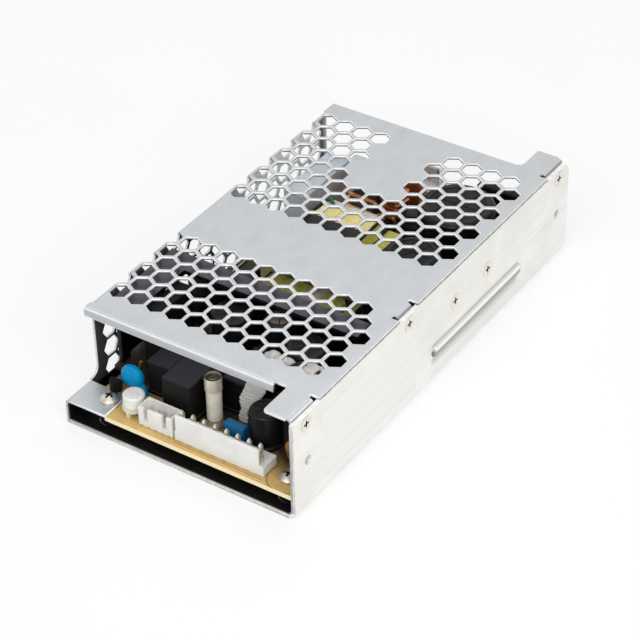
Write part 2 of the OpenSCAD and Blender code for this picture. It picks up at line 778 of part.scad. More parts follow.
// Gap between the cover and the output capacitors, the bulk capacitor and the box-shaped capacitors
cap_gap = 5.6;
bulk_gap = 2.1;
box_gap = 3.6;

module output_capacitor_a() { color("dimgray") in_case() translate([20.3, 16.8, board_top]) electrolytic(10, 12.6); }
module output_capacitor_b() { color("dimgray") in_case() translate([5.5, 46.3, board_top]) electrolytic(10, room - cap_gap); }
module output_capacitor_c() { color("dimgray") in_case() translate([20, 39, board_top]) electrolytic(12.5, room - cap_gap); }
module output_capacitor_d() { color("dimgray") in_case() translate([26.5, 27.5, board_top]) electrolytic(10, room - cap_gap + 1); }
module output_capacitor_e() { color("dimgray") in_case() translate([-8.5, 41, board_top]) electrolytic(12.5, room - cap_gap); }
module bulk_capacitor() { color("dimgray") in_case() translate([22, along(121.3), board_top]) electrolytic(25, room - bulk_gap); }
module filter_capacitor() { color("dimgray") in_case() translate([22, along(94.5), board_top]) electrolytic(18, room - cap_gap + 1); }
module line_fuse() { color("black") in_case() translate([3.2, along(125), board_top]) electrolytic(8.5, 8); }

module box_capacitor() { color("steelblue") in_case() translate([8.6, 11.2, board_top]) cut_box(7.2, 3, 6.2, 0.3); }
module film_capacitor() { color("black") in_case() translate([-30.2, 25, board_top]) cut_box(6.2, 18, room - box_gap, 0.4); }
module x_capacitor() { color("lightsteelblue") in_case() translate([-30.8, along(114) - 13, board_top]) cut_box(9, 26, room - box_gap, 0.5); }

// Relay: a moulded cover on a slightly wider foot
module relay(w, l, h) {
  foot = 0.3;
  translate([foot, foot, 0]) cut_box(w - 2 * foot, l - 2 * foot, h, 0.4);
  cut_box(w, l, h * 0.12, 0.2);
}

module relay_a() { color("black") in_case() translate([-13.2, 10.4, board_top]) relay(11.1, 18.6, 14.4); }
module relay_b() { color("black") in_case() translate([-23.3, 16.6, board_top]) relay(9.4, 18.6, 12.2); }

module relay_c() { color("black") in_case() translate([0.2, 22, board_top]) relay(9.4, 18.6, 12.3); }

// Upright cartridge fuse: two metal caps on a cream tube

fuse_x = 2.3;
fuse_y = 16;
fuse_d = 5.4;
fuse_l = 17.6;
fuse_cap_top = 4.7;
fuse_cap_foot = 2;
fuse_neck_d = 3.6;

// Both caps and the fuse's core between them; the upper cap has a shallow cup
module output_fuse() {
  cup_d = fuse_d - 1;
  color("silver") in_case() translate([fuse_x, fuse_y, board_top]) difference() {
    union() {
      cylinder(d = fuse_d, h = fuse_cap_foot);
      cylinder(d = fuse_neck_d, h = fuse_l - 1);
      translate([0, 0, fuse_l - fuse_cap_top]) cylinder(d = fuse_d, h = fuse_cap_top);
    }
    translate([0, 0, fuse_l - 0.8]) difference() {
      cylinder(d = cup_d, h = 1);
      translate([0, 0, -1]) cylinder(d = cup_d / 2, h = 1.4);
    }
  }
}

module fuse_sleeve() {
  color("antiquewhite") in_case() translate([fuse_x, fuse_y, board_top + fuse_cap_foot])
    linear_extrude(fuse_l - fuse_cap_foot - fuse_cap_top) difference() {
      circle(d = fuse_d - 0.6);
      circle(d = fuse_neck_d + 2 * fit);
    }
}

// Bead of white silicone that ties the output capacitors: a leaning strap that stands on the board

module adhesive() {
  color("white") in_case() translate([0, 21.7, board_top]) rotate([90, 0, 0]) linear_extrude(1.5)
    polygon([[7.4, 0], [10.6, 0], [11, 4.4], [16.3, 11.6], [17.8, 16], [10.4, 16], [8.2, 7.2]]);
}

// Folded heat sink: an upright plate across the case and a return along the left side, both flanged

module heat_sink() {
  t = 1.5;
  foot = 2;
  front = 24;
  back = sink_back;
  leg_l = 18;
  plate_left = 6.5;
  flange = 7.5;
  side_flange = 10;
  x0 = side_in + 1.2;
  x1 = 33;
  top = case_h - 2.5;
  rise = top - board_top;
  color("darkslategray") in_case() {
    // plate across the case, standing on four feet
    translate([x0, back, board_top]) rotate([90, 0, 0]) linear_extrude(t) difference() {
      translate([plate_left, 0]) square([x1 - x0 - plate_left, rise]);
      for (i = [0 : 2]) translate([plate_left + 4 + i * 21, -eps]) square([17, foot]);
    }
    // return along the left side: a leg in front and a band under the flange
    upright(x0, t) translate([front, board_top]) difference() {
      square([back - front, rise]);
      translate([leg_l, -eps]) square([back - front, rise - 7]);
      translate([4, -eps]) square([leg_l - 8, foot]);
    }
    // flanges
    translate([x0, front, top - t]) cube([side_flange, back - front, t]);
    translate([x0, back - flange, top - t]) cube([x1 - x0, flange, t]);
  }
}

// Wound parts

// Pair of E cores closed round a bobbin whose axis runs along X, centred on the origin in X and Y
module e_core(w, l, h, leg) {
  difference() {
    translate([-w / 2, -l / 2, 0]) cut_box(w, l, h, 0.4);
    translate([-w / 2 + leg, -l / 2 + leg, -eps]) cube([w - 2 * leg, l - 2 * leg, h + 2 * eps]);
  }
  translate([-w / 2 + leg / 2, 0, h / 2]) rotate([0, 90, 0]) cylinder(d = h - 0.6, h = w - leg);
}

// Bobbin: a tube round the middle leg, two cheeks, and a foot under each cheek
module bobbin(w, l, z0, h, leg_d, lift) {
  cheek = 1.1;
  gap = 0.25;
  translate([0, 0, z0]) difference() {
    union() {
      translate([-w / 2, 0, 0]) rotate([0, 90, 0]) cylinder(d = leg_d + 2 * gap + 1.6, h = w);
      for (x = [-w / 2, w / 2 - cheek]) translate([x, -l / 2, -h / 2]) cube([cheek, l, h]);
    }
    translate([-w / 2 - eps, 0, 0]) rotate([0, 90, 0]) cylinder(d = leg_d + 2 * gap, h = w + 2 * eps);
  }
  for (x = [-w / 2, w / 2 - cheek - 1.4])
    translate([x, -l / 2, lift]) cube([cheek + 1.4, l, z0 - h / 2 - lift]);
}

// Taped winding between the cheeks: a rounded barrel with a hole for the bobbin's tube
module taped_winding(w, l, z0, h, tube_d) {
  r = 5;
  translate([-w / 2, 0, z0]) rotate([90, 0, 90]) linear_extrude(w) difference() {
    union() {
      square([l, h - 2 * r], center = true);
      square([l - 2 * r, h], center = true);
      for (sx = [-1, 1], sy = [-1, 1]) translate([sx * (l / 2 - r), sy * (h / 2 - r)]) circle(r);
    }
    circle(d = tube_d);
  }
}

transformer_w = 31;
transformer_l = 33;
transformer_core_h = 11;
transformer_leg = 4.2;
transformer_h = room - 4.6;
transformer_mid = transformer_h / 2 + 1;
transformer_inner = transformer_w - 2 * transformer_leg - 0.4;
transformer_coil_l = transformer_l - 2 * transformer_leg - 0.8;

module transformer_core() {
  color("dimgray") in_case() translate(transformer_at + [0, 0, transformer_mid - transformer_core_h / 2])
    e_core(transformer_w, transformer_l, transformer_core_h, transformer_leg);
}

module transformer_bobbin() {
  color("black") in_case() translate(transformer_at)
    bobbin(transformer_inner, transformer_coil_l, transformer_mid, transformer_h, transformer_core_h - 0.6, 0);
}

module transformer_winding() {
  color("khaki") in_case() translate(transformer_at)
    taped_winding(transformer_inner - 2.4, transformer_coil_l, transformer_mid, transformer_h - 0.2,
      transformer_core_h + 1.7);
}

choke_w = 34;
choke_l = 15.5;
choke_core_h = 8;
choke_leg = 3;
choke_mid = 10;
choke_h = 18;
choke_inner = choke_w - 2 * choke_leg - 0.4;
choke_coil_l = choke_l - 2 * choke_leg - 0.4;

module output_choke_core() {
  color("dimgray") in_case() translate(choke_at + [0, 0, choke_mid - choke_core_h / 2])
    difference() {
      e_core(choke_w, choke_l, choke_core_h, choke_leg);
    }
}

module output_choke_winding() {
  color("darkkhaki") in_case() translate(choke_at) {
    translate([-choke_inner / 2, -choke_coil_l / 2, 0]) difference() {
      cut_box(choke_inner, choke_coil_l, choke_h, 1.5);
      translate([-eps, choke_coil_l / 2, choke_mid]) rotate([0, 90, 0])
        cylinder(d = choke_core_h - 0.6 + 2 * fit, h = choke_inner + 2 * eps);
    }
  }
}

// Line choke: a ring standing on edge, wound in two halves

line_choke_d = room - 4.6;
line_choke_hole = 10;
line_choke_t = 9;
line_choke_wire = 1.3;

module line_choke_core() {
  color("darkgreen") in_case() translate(line_choke_at + [-line_choke_t / 2, 0, line_choke_d / 2 + line_choke_wire])
    rotate([0, 90, 0]) difference() {
      cylinder(d = line_choke_d, h = line_choke_t);
      translate([0, 0, -eps]) cylinder(d = line_choke_hole, h = line_choke_t + 2 * eps);
    }
}

// Plastic foot that cradles the ring
module line_choke_base() {
  w = line_choke_t - 1;
  l = 9;
  h = 3;
  color("black") in_case() translate(line_choke_at) difference() {
    translate([-w / 2, -l / 2, 0]) cut_box(w, l, h, 0.3);
    translate([-w, 0, line_choke_d / 2 + line_choke_wire]) rotate([0, 90, 0]) cylinder(d = line_choke_d + 2 * fit, h = 2 * w);
  }
}

// One turn of wire round the ring's section, as a square loop
module choke_turn() {
  w = line_choke_wire;
  deep = (line_choke_d - line_choke_hole) / 2;
  translate([0, line_choke_hole / 2 - w - fit, -line_choke_t / 2 - w - fit]) difference() {
    translate([-w / 2, 0, 0]) cube([w, deep + 2 * w + 2 * fit, line_choke_t + 2 * w + 2 * fit]);
    translate([-w, w, w]) cube([2 * w, deep + 2 * fit, line_choke_t + 2 * fit]);
  }
}

module line_choke_winding() {
  turns = 7;
  color("chocolate") in_case()
    translate(line_choke_at + [0, 0, line_choke_d / 2 + line_choke_wire]) rotate([0, 90, 0])
      for (half = [0, 180], i = [0 : turns - 1]) rotate(half + (i - (turns - 1) / 2) * 19) choke_turn();
}

// The row along the middle of the board, from the heat sink to the input header: what the choke,
// transformer, line choke and thermistor leave free is shared out between them

sink_back = 53.5;
thermistor_t = 4.2;
row_end = along(148.9);
row_lengths = [choke_l, transformer_l, line_choke_d + 2 * line_choke_wire + 0.4, thermistor_t];
row_free = row_end - sink_back - row_lengths * [1, 1, 1, 1];
row_gaps = [0.19, 0.045, 0.12, 0.25];
function row_front(i) = i == 0 ? sink_back + row_free * row_gaps[0]
  : row_front(i - 1) + row_lengths[i - 1] + row_free * row_gaps[i];
function row_mid(i) = row_front(i) + row_lengths[i] / 2;
choke_at = [1, row_mid(0), board_top];
transformer_at = [-5, row_mid(1), board_top];
line_choke_at = [-8, row_mid(2), board_top];
thermistor_y = row_mid(3);

// Chip packages

// Dual-row package: a moulded body on two rows of bent legs
module dual_row(pins, w) {
  l = pins * 2.54;
  body_h = 3.3;
  lift = 0.6;
  translate([-w / 2, -l / 2, lift]) cut_box(w, l, body_h, 0.4);
  for (s = [-1, 1], i = [0 : pins - 1]) translate([s * (w / 2 + 0.4) - 0.25, (i - (pins - 1) / 2) * 2.54 - 0.6, 0]) {
    cube([0.5, 1.2, lift + body_h / 2]);
    translate([s > 0 ? -0.6 : 0, 0, lift + body_h / 2 - 0.4]) cube([1.1, 1.2, 0.4]);
  }
}

module controller_ic() { color("black") in_case() translate([-27, along(66), board_top]) dual_row(4, 6.4); }
module optocoupler() { color("black") in_case() translate([-27, along(84), board_top]) dual_row(2, 6.4); }

// Flat bridge rectifier standing on four legs
module bridge_rectifier() {
  w = 21;
  t = 3.6;
  leg = 1.1;
  color("black") in_case() translate([right - 24.5, along(142), board_top]) {
    translate([0, 0, 1.5]) cut_box(w, t, 17, 0.5);
    for (i = [0 : 3]) translate([2.3 + i * 5.1, t / 2 - leg / 2, 0]) cube([leg, leg, 2.5]);
  }
}

// Small transistor: a half-round case on three legs
module signal_transistor() {
  d = 4;
  lift = 1;
  color("black") in_case() translate([-31.4, 12, board_top]) {
    translate([0, 0, lift]) linear_extrude(3.6) intersection() {
      circle(d = d);
      translate([-d, -d * 0.68]) square([2 * d, d * 0.875]);
    }
    for (i = [-1 : 1]) translate([i * 1.27 - 0.25, -0.25, 0]) cube([0.5, 0.5, lift + 0.2]);
  }
}

chassis();
cover();
insulation_film();
circuit_board();
standoffs();
board_screws();
cover_screws();
transistor_screws();
transistor_nuts();
switch_transistor();
output_rectifier();
switch_pad();
rectifier_pad();
output_header();
output_pins();
signal_header();
signal_pins();
input_header();
input_pins();
trimmer_base();
trimmer_cap();
disc_capacitor();
ceramic_capacitor();
relay_a();
relay_b();
relay_c();
output_fuse();
fuse_sleeve();
box_capacitor();
film_capacitor();
adhesive();
output_capacitor_a();
output_capacitor_b();
output_capacitor_c();
output_capacitor_d();
output_capacitor_e();
bulk_capacitor();
filter_capacitor();
heat_sink();
transformer_core();
transformer_bobbin();
transformer_winding();
output_choke_core();
output_choke_winding();
line_choke_base();
line_choke_core();
line_choke_winding();
x_capacitor();
varistor();
thermistor();
line_fuse();
bridge_rectifier();
controller_ic();
optocoupler();
signal_transistor();
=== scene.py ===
"""Looks of the enclosed power supply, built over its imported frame. Metres, front at -Y, wall at +X."""

import json
import math

import bmesh
import bpy
import numpy as np
from mathutils import Matrix, Vector, noise
from mathutils.geometry import delaunay_2d_cdt


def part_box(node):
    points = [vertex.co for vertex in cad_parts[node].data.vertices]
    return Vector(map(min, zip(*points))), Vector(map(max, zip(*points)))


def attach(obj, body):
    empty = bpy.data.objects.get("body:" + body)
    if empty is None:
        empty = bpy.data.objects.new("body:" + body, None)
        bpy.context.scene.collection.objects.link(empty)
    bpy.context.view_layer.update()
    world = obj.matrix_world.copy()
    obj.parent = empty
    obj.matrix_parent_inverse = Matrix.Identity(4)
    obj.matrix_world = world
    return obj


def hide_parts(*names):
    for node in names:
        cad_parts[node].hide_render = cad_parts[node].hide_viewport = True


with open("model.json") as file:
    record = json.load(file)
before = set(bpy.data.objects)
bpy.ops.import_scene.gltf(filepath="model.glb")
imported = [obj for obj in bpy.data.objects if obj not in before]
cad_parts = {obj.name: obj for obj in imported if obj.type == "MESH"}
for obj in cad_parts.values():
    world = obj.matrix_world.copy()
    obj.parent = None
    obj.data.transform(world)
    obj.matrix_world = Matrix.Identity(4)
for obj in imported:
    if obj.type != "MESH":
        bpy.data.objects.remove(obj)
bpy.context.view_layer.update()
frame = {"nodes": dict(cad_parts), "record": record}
MM = 0.001
FRONT = -0.0795
WALL_FACE = 41.5
BOARD_TOP = 8.1
LEAD_DEPTH = 1.4
IN_BOARD = BOARD_TOP - LEAD_DEPTH
# Pieces are drawn in millimetres, with y from the front edge of the case, and moved into the frame by this
TO_FRAME = Matrix.Translation((0, FRONT, 0)) @ Matrix.Scale(MM, 4)


# Camera

CAMERA_ANGLES = (34.19, 37.07, -1.14)  # degrees: round from the front, up, roll
CAMERA_PLACE = (0.3255, -0.4832, 0.4447)
CAMERA_LENS = 130.4


def place_camera():
    az, el, roll = (math.radians(a) for a in CAMERA_ANGLES)
    back = Vector((math.sin(az) * math.cos(el), -math.cos(az) * math.cos(el), math.sin(el)))
    right = Vector((0, 0, 1)).cross(back).normalized()
    up = back.cross(right)
    c, s = math.cos(roll), math.sin(roll)
    axes = (c * right + s * up, -s * right + c * up, back)
    data = bpy.data.cameras.new("camera")
    data.sensor_width = 36
    data.lens = CAMERA_LENS
    data.clip_start = 0.01
    camera = bpy.data.objects.new("camera", data)
    bpy.context.scene.collection.objects.link(camera)
    turn = Matrix([[a[i] for a in axes] for i in range(3)]).to_4x4()
    camera.matrix_world = Matrix.Translation(CAMERA_PLACE) @ turn
    bpy.context.scene.camera = camera


place_camera()


# Materials

LOOKS = {}  # each material by its name; one that has a slot's name is that slot's look
WHITE = (255, 255, 255)
# The four board screws stand at this middle, plus or minus this half, in x and y
SCREWS_MIDDLE, SCREWS_HALF = (2.45 * MM, 0.0), (32.45 * MM, 72.8 * MM)


def lin(colour):
    """An 8-bit screen colour as linear RGBA."""
    def one(v):
        v /= 255
        return v / 12.92 if v <= 0.04045 else ((v + 0.055) / 1.055) ** 2.4
    return tuple(one(v) for v in colour) + (1,)


def deep(y):
    """The frame's y at a distance in millimetres behind the front edge."""
    return FRONT + y * MM


class Look:
    """A procedural material: a Principled shader and the textures that feed it. Texture sizes are in mm."""

    def __init__(self, name, **numbers):
        LOOKS[name] = self.mat = bpy.data.materials.new(name)
        self.mat.use_nodes = True
        self.tree = self.mat.node_tree
        self.tree.nodes.clear()
        self.out = self.tree.nodes.new("ShaderNodeOutputMaterial")
        self.bsdf = self.tree.nodes.new("ShaderNodeBsdfPrincipled")
        self.tree.links.new(self.bsdf.outputs[0], self.out.inputs[0])
        self.place = self.tree.nodes.new("ShaderNodeTexCoord").outputs["Object"]
        for key, value in numbers.items():
            self.bsdf.inputs[key.replace("_", " ")].default_value = value

    def node(self, kind, inputs, **fields):
        made = self.tree.nodes.new(kind)
        for key, value in fields.items():
            setattr(made, key, value)
        for key, value in inputs.items():
            if isinstance(value, bpy.types.NodeSocket):
                self.tree.links.new(value, made.inputs[key])
            else:
                made.inputs[key].default_value = value
        return made

    def stretched(self, stretch):
        if not stretch:
            return self.place
        return self.node("ShaderNodeMapping", {"Vector": self.place, "Scale": stretch}).outputs[0]

    def noise(self, size, detail=3.0, rough=0.55, stretch=None):
        return self.node("ShaderNodeTexNoise", {
            "Vector": self.stretched(stretch), "Scale": 1000 / size, "Detail": detail, "Roughness": rough,
        }).outputs[0]

    def cells(self, size, stretch):
        inputs = {"Vector": self.stretched(stretch), "Scale": 1000 / size}
        return self.node("ShaderNodeTexVoronoi", inputs).outputs["Distance"]

    def spot(self):
        """The x, y and z of a point."""
        return self.node("ShaderNodeSeparateXYZ", {0: self.place}).outputs

    def facing(self, kind="Normal"):
        """The x, y and z of the direction in which the surface looks."""
        faced = self.node("ShaderNodeNewGeometry", {}).outputs[kind]
        return self.node("ShaderNodeSeparateXYZ", {0: faced}).outputs

    def ramp(self, fac, dark, light, start=0.25, end=0.75):
        made = self.node("ShaderNodeValToRGB", {"Fac": fac})
        for element, place, colour in zip(made.color_ramp.elements, (start, end), (dark, light)):
            element.position = place
            element.color = lin(colour)
        return made.outputs[0]

    def mix(self, fac, a, b, blend="MIX"):
        inputs = {0: fac, 6: a, 7: b}
        return self.node("ShaderNodeMix", inputs, data_type="RGBA", blend_type=blend).outputs[2]

    def patchy(self, colour, share, fac, dark, start=0.3, end=0.7):
        """The colour, with a share of a darker tone multiplied in where fac is low."""
        return self.mix(share, colour, self.ramp(fac, dark, WHITE, start, end), "MULTIPLY")

    def spread(self, fac, low, high, start=0.25, end=0.75):
        return self.node("ShaderNodeMapRange", {
            "Value": fac, "From Min": start, "From Max": end, "To Min": low, "To Max": high,
        }).outputs[0]

    def rise(self, part, start, end, top=1.0):
        return self.spread(part, 0.0, top, start, end)

    def fall(self, part, start, end):
        return self.spread(part, 1.0, 0.0, start, end)

    def maths(self, kind, a, b=0.0, within=None):
        inputs = {0: a, 1: b} if within is None else {0: a, 1: b, 2: within}
        return self.node("ShaderNodeMath", inputs, operation=kind).outputs[0]

    def product(self, first, *others):
        for other in others:
            first = self.maths("MULTIPLY", first, other)
        return first

    def squares(self, a, b):
        """The squares of a and b, added."""
        return self.maths("ADD", self.product(a, a), self.product(b, b))

    def feed(self, socket, output):
        self.tree.links.new(output, self.bsdf.inputs[socket])

    def done(self, colour, wear, rough, *reliefs):
        """Feeds the shader: colour, roughness from two values by wear, layers of (height, mm, strength)."""
        self.feed("Base Color", colour)
        self.feed("Roughness", self.spread(wear, *rough))
        under = {}
        for height, depth, strength in reliefs:
            inputs = {"Height": height, "Strength": strength, "Distance": depth * MM, **under}
            under = {"Normal": self.node("ShaderNodeBump", inputs).outputs[0]}
        self.feed("Normal", under["Normal"])
        return self.mat


def plain(name, dark, light, rough, grain, relief, blotch=9.0, depth=0.12, **numbers):
    """A mottled surface: fine grain over soft patches, with uneven gloss and relief."""
    look = Look(name, **numbers)
    fine = look.noise(grain, 4.0, 0.6)
    colour = look.ramp(fine, dark, light)
    colour = look.patchy(colour, 1.0, look.noise(blotch, 2.0, 0.5), (255 * (1 - depth),) * 3)
    return look.done(colour, look.noise(blotch * 0.4, 3.0), rough, (fine, relief, 1.0))


def metal(name, dark, light, rough, grain=0.5, stretch=None, relief=0.006, bare=1.0):
    """A metal with fine grain and faint stains; bare says how metallic it is."""
    look = Look(name, Metallic=bare)
    fine = look.noise(grain, 4.0, 0.6, stretch)
    stain = look.noise(1.8, 3.0)
    colour = look.patchy(look.ramp(fine, dark, light), 0.6, stain, (205, 203, 198))
    return look.done(colour, stain, rough, (fine, relief, 0.6))


def taped(name, dark, light, width, shade_before=None):
    """Film tape wound on in turns along x, with a faint line at each edge; painted shade, near black, before
    the given y.
    """
    look = Look(name, Specular_IOR_Level=0.25, Coat_Weight=0.08, Coat_Roughness=0.18,
                Subsurface_Weight=0.08, Subsurface_Scale=MM)
    x, y, _ = look.spot()
    turn = look.maths("FRACT", look.product(x, 1000 / width))
    lap = look.rise(turn, 0.0, 0.06)
    wrinkle = look.noise(2.4, 3.0, 0.55, (1, 3, 3))
    colour = look.ramp(wrinkle, dark, light)
    colour = look.mix(look.spread(turn, 0.45, 0.0, 0.0, 0.1), colour, lin(tuple(v * 0.72 for v in dark)))
    # Painted shade: near-black tape colour before the given y, where the winding lies in shade
    if shade_before is not None:
        ahead = look.maths("ADD", y, look.spread(wrinkle, -0.4 * MM, 0.4 * MM))
        black = look.ramp(wrinkle, (14, 14, 14), (26, 26, 27))
        colour = look.mix(look.maths("LESS_THAN", ahead, shade_before), colour, black)
    return look.done(colour, look.noise(1.5, 3.0), (0.28, 0.46), (wrinkle, 0.12, 0.6), (lap, 0.05, 0.8))


def topped(name, top, sides, rough, stretch=None, **numbers):
    """A surface with one tone on the faces that look up and another on those that stand upright."""
    look = Look(name, **numbers)
    fine = look.noise(0.3, 4.0, 0.6, stretch)
    upright = look.fall(look.facing()[2], 0.5, 0.95)
    colour = look.mix(upright, look.ramp(fine, *top), look.ramp(fine, *sides))
    return look.done(colour, look.noise(3.2, 3.0), rough, (fine, 0.01, 1.0))


def zinc_sheet():
    look = Look("zinc_sheet", Metallic=0.88)
    grain = look.noise(0.35, 5.0, 0.65)
    rolled = look.noise(0.5, 3.0, 0.6, (1, 0.06, 1))
    spangle = look.cells(7.0, (1, 0.8, 1))
    colour = look.ramp(grain, (185, 188, 190), (201, 204, 206))
    colour = look.patchy(colour, 0.5, rolled, (238, 238, 238))
    colour = look.patchy(colour, 0.35, spangle, (236, 236, 238), 0.0)
    return look.done(colour, look.noise(2.2, 4.0), (0.36, 0.52), (grain, 0.012, 0.5), (rolled, 0.006, 0.5))


def aluminium_sheet():
    """Rolled aluminium. The rib pressed into the wall has a painted highlight along its middle and painted
    shade on its sides and ends; the wall has painted shadow in bands beside it.
    """
    look = Look("aluminium_sheet", Metallic=0.7)
    rolled = look.noise(0.4, 4.0, 0.6, (1, 0.03, 1))
    colour = look.ramp(rolled, (238, 236, 231), (250, 248, 244))
    colour = look.patchy(colour, 0.6, look.noise(16.0, 3.0, 0.5), (240, 239, 236), 0.35, 0.65)
    scratch = look.noise(1.2, 2.0, 0.4, (1, 0.015, 1))
    colour = look.mix(look.rise(scratch, 0.68, 0.74, 0.35), colour, lin((206, 204, 200)))
    x, y, z = look.spot()
    # The rib: a painted highlight along its middle between painted shade on its flanks, and painted shade at
    # its ends, darkest at the front end
    raised = look.maths("GREATER_THAN", x, (WALL_FACE + 0.03) * MM)
    crest_highlight = look.product(look.rise(z, 12.0 * MM, 12.6 * MM), look.fall(z, 13.1 * MM, 13.7 * MM))
    flank_shade = look.mix(look.rise(z, 12.0 * MM, 13.6 * MM), lin((170, 168, 164)), lin((208, 206, 201)))
    colour = look.mix(raised, colour, look.mix(crest_highlight, flank_shade, lin((247, 246, 243))))
    ends = look.rise(look.maths("ABSOLUTE", look.facing()[1]), 0.25, 0.6, 0.9)
    tip_shade = look.mix(look.rise(y, deep(74.2), deep(75.2)), lin((84, 84, 84)), lin((150, 150, 150)))
    colour = look.mix(look.product(raised, ends), colour, tip_shade)
    # Painted shadow on the wall: a thin line of shade above the rib and a broader cast shadow under it
    along = look.product(look.rise(y, deep(73.5), deep(75.5)), look.fall(y, deep(125.5), deep(127.5)))
    off = look.maths("ABSOLUTE", look.maths("SUBTRACT", z, 14.2 * MM))
    crease_shade = look.spread(off, 0.85, 0.0, 0.1 * MM, 0.7 * MM)
    # Painted shadow cast on the wall under the rib
    below = look.product(look.rise(z, 6.0 * MM, 8.6 * MM), look.maths("LESS_THAN", z, 9.4 * MM), 0.85)
    wall = look.maths("SUBTRACT", 1.0, raised)
    painted_rib_shadow = look.product(along, look.maths("MAXIMUM", crease_shade, below), wall, 0.7)
    colour = look.mix(painted_rib_shadow, colour, lin((158, 156, 151)))
    worn = look.noise(3.0, 4.0, stretch=(1, 0.2, 1))
    return look.done(colour, worn, (0.32, 0.48), (rolled, 0.01, 0.5))


def laminate():
    """Paper laminate: tan lacquered face with painted shade inward from the front edge, where the parts and
    the cover shade it, and a paler cut edge with the same painted shade inward.

    On its face there are a ring round the right front screw and a line before the output header.
    """
    look = Look("board_laminate", Specular_IOR_Level=0.3)
    fibre = look.noise(0.5, 4.0, 0.6, (1, 0.25, 1))
    cloud = look.noise(6.0, 3.0)
    x, y, _ = look.spot()
    # Painted shade: it starts nearer the front edge from x = -16 mm and again from x = 25 mm, towards the wall
    ahead = y
    for start, end in ((-16, -9), (25, 31)):
        ahead = look.maths("ADD", ahead, look.rise(x, start * MM, end * MM, 4 * MM))
    inward = look.rise(ahead, deep(12), deep(20))
    # Painted shade, dark brown, on the face and cut edge inward from the front
    inner_shade = look.ramp(fibre, (52, 42, 29), (70, 57, 41))
    face = look.mix(inward, look.ramp(fibre, (208, 174, 106), (226, 194, 128)), inner_shade)
    face = look.patchy(face, 0.5, cloud, (226, 222, 214))
    far = look.squares(look.maths("SUBTRACT", x, SCREWS_MIDDLE[0] + SCREWS_HALF[0]),
                       look.maths("SUBTRACT", y, SCREWS_MIDDLE[1] - SCREWS_HALF[1]))
    ring = look.maths("COMPARE", look.maths("SQRT", far), 6.5 * MM, 0.28 * MM)
    low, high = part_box("output_header")
    line = look.product(look.maths("COMPARE", y, low[1] - 0.8 * MM, 0.16 * MM),
                        look.maths("GREATER_THAN", x, low[0]), look.maths("LESS_THAN", x, high[0]))
    face = look.mix(look.product(look.maths("MAXIMUM", ring, line), 0.6), face, lin((128, 88, 38)))
    edge = look.ramp(look.noise(0.4, 4.0, 0.6, (0.3, 0.3, 3)), (244, 224, 180), (253, 238, 202))
    flat = look.maths("GREATER_THAN", look.maths("ABSOLUTE", look.facing()[2]), 0.6)
    colour = look.mix(flat, look.mix(inward, edge, inner_shade), face)
    return look.done(colour, cloud, (0.34, 0.5), (fibre, 0.02, 0.6))


def wall_screw():
    """Pale yellow-passivated screw head, with painted shade in its driver recess."""
    look = Look("yellow_fastener", Metallic=0.85)
    fine = look.noise(0.5, 4.0)
    colour = look.ramp(look.noise(1.6, 3.0), (226, 220, 202), (243, 240, 233), 0.3, 0.7)
    # Painted shade: dark brown in the driver recess
    shade_in_hollow = look.maths("LESS_THAN", look.spot()[0], (WALL_FACE - 0.1) * MM)
    return look.done(look.mix(shade_in_hollow, colour, lin((62, 46, 18))), fine, (0.24, 0.42), (fine, 0.006, 0.6))


def board_screw():
    """Zinc pan head, dulled, with painted shade in its cross recess."""
    look = Look("board_screw", Metallic=0.9)
    stain = look.noise(1.5, 3.0)
    colour = look.ramp(stain, (170, 163, 153), (216, 212, 205), 0.3, 0.7)
    aside = []
    for part, middle, half in zip(look.spot(), SCREWS_MIDDLE, SCREWS_HALF):
        out = look.maths("ABSOLUTE", look.maths("SUBTRACT", part, middle))
        aside.append(look.maths("SUBTRACT", out, half))
    near = look.maths("LESS_THAN", look.squares(*aside), (1.42 * MM) ** 2)
    up = look.facing("True Normal")[2]
    shade_in_hollow = look.maths("MAXIMUM", look.maths("LESS_THAN", up, 0.5), look.maths("GREATER_THAN", up, 0.995))
    # Painted shade: near black in the cross recess
    colour = look.mix(look.product(near, shade_in_hollow), colour, lin((42, 36, 30)))
    return look.done(colour, stain, (0.32, 0.5), (look.noise(0.5, 4.0), 0.006, 0.6))


def cover_inside():
    """Inner face of the cover, with painted shade by the front opening and in a band at the rear, plain zinc
    between.
    """
    look = Look("zinc_inside", Metallic=0.3)
    grain = look.noise(0.35, 4.0, 0.6)
    painted_shade = look.ramp(grain, (70, 70, 70), (88, 88, 88))
    clear = look.ramp(grain, (230, 231, 228), (244, 245, 243))
    y = look.spot()[1]
    # Painted shade: full in front of y = 70 mm, fading out by 100 mm, and in a band at the rear
    band = look.product(look.rise(y, deep(136.5), deep(137.5), 0.95),
                        look.spread(y, 1.0, 0.45, deep(139.2), deep(140.8)))
    light = look.maths("SUBTRACT", look.rise(y, deep(70), deep(100)), band)
    colour = look.mix(light, painted_shade, clear)
    return look.done(colour, look.noise(3.2, 3.0), (0.5, 0.66), (grain, 0.01, 0.5))


def cut_steel():
    """Punched edge of the cover: bright on the lip, with painted shade inside the openings of the top."""
    look = Look("cut_steel", Metallic=0.35)
    fine = look.noise(0.3, 4.0, 0.6, (1, 1, 0.2))
    bright = look.ramp(fine, (206, 208, 211), (238, 239, 241))
    painted_shade = look.ramp(fine, (112, 113, 115), (140, 141, 143))
    x, y, z = look.spot()
    # Painted shade on the walls of the top's openings, under the rolled rim
    shade_in_hollow = look.fall(z, 35.0 * MM, 35.3 * MM)
    for part, level in ((x, -39.6 * MM), (y, deep(14.6)), (z, 34.6 * MM)):
        shade_in_hollow = look.product(shade_in_hollow, look.maths("GREATER_THAN", part, level))
    colour = look.mix(shade_in_hollow, bright, painted_shade)
    return look.done(colour, look.noise(1.8, 3.0), (0.42, 0.6), (fine, 0.01, 0.6))


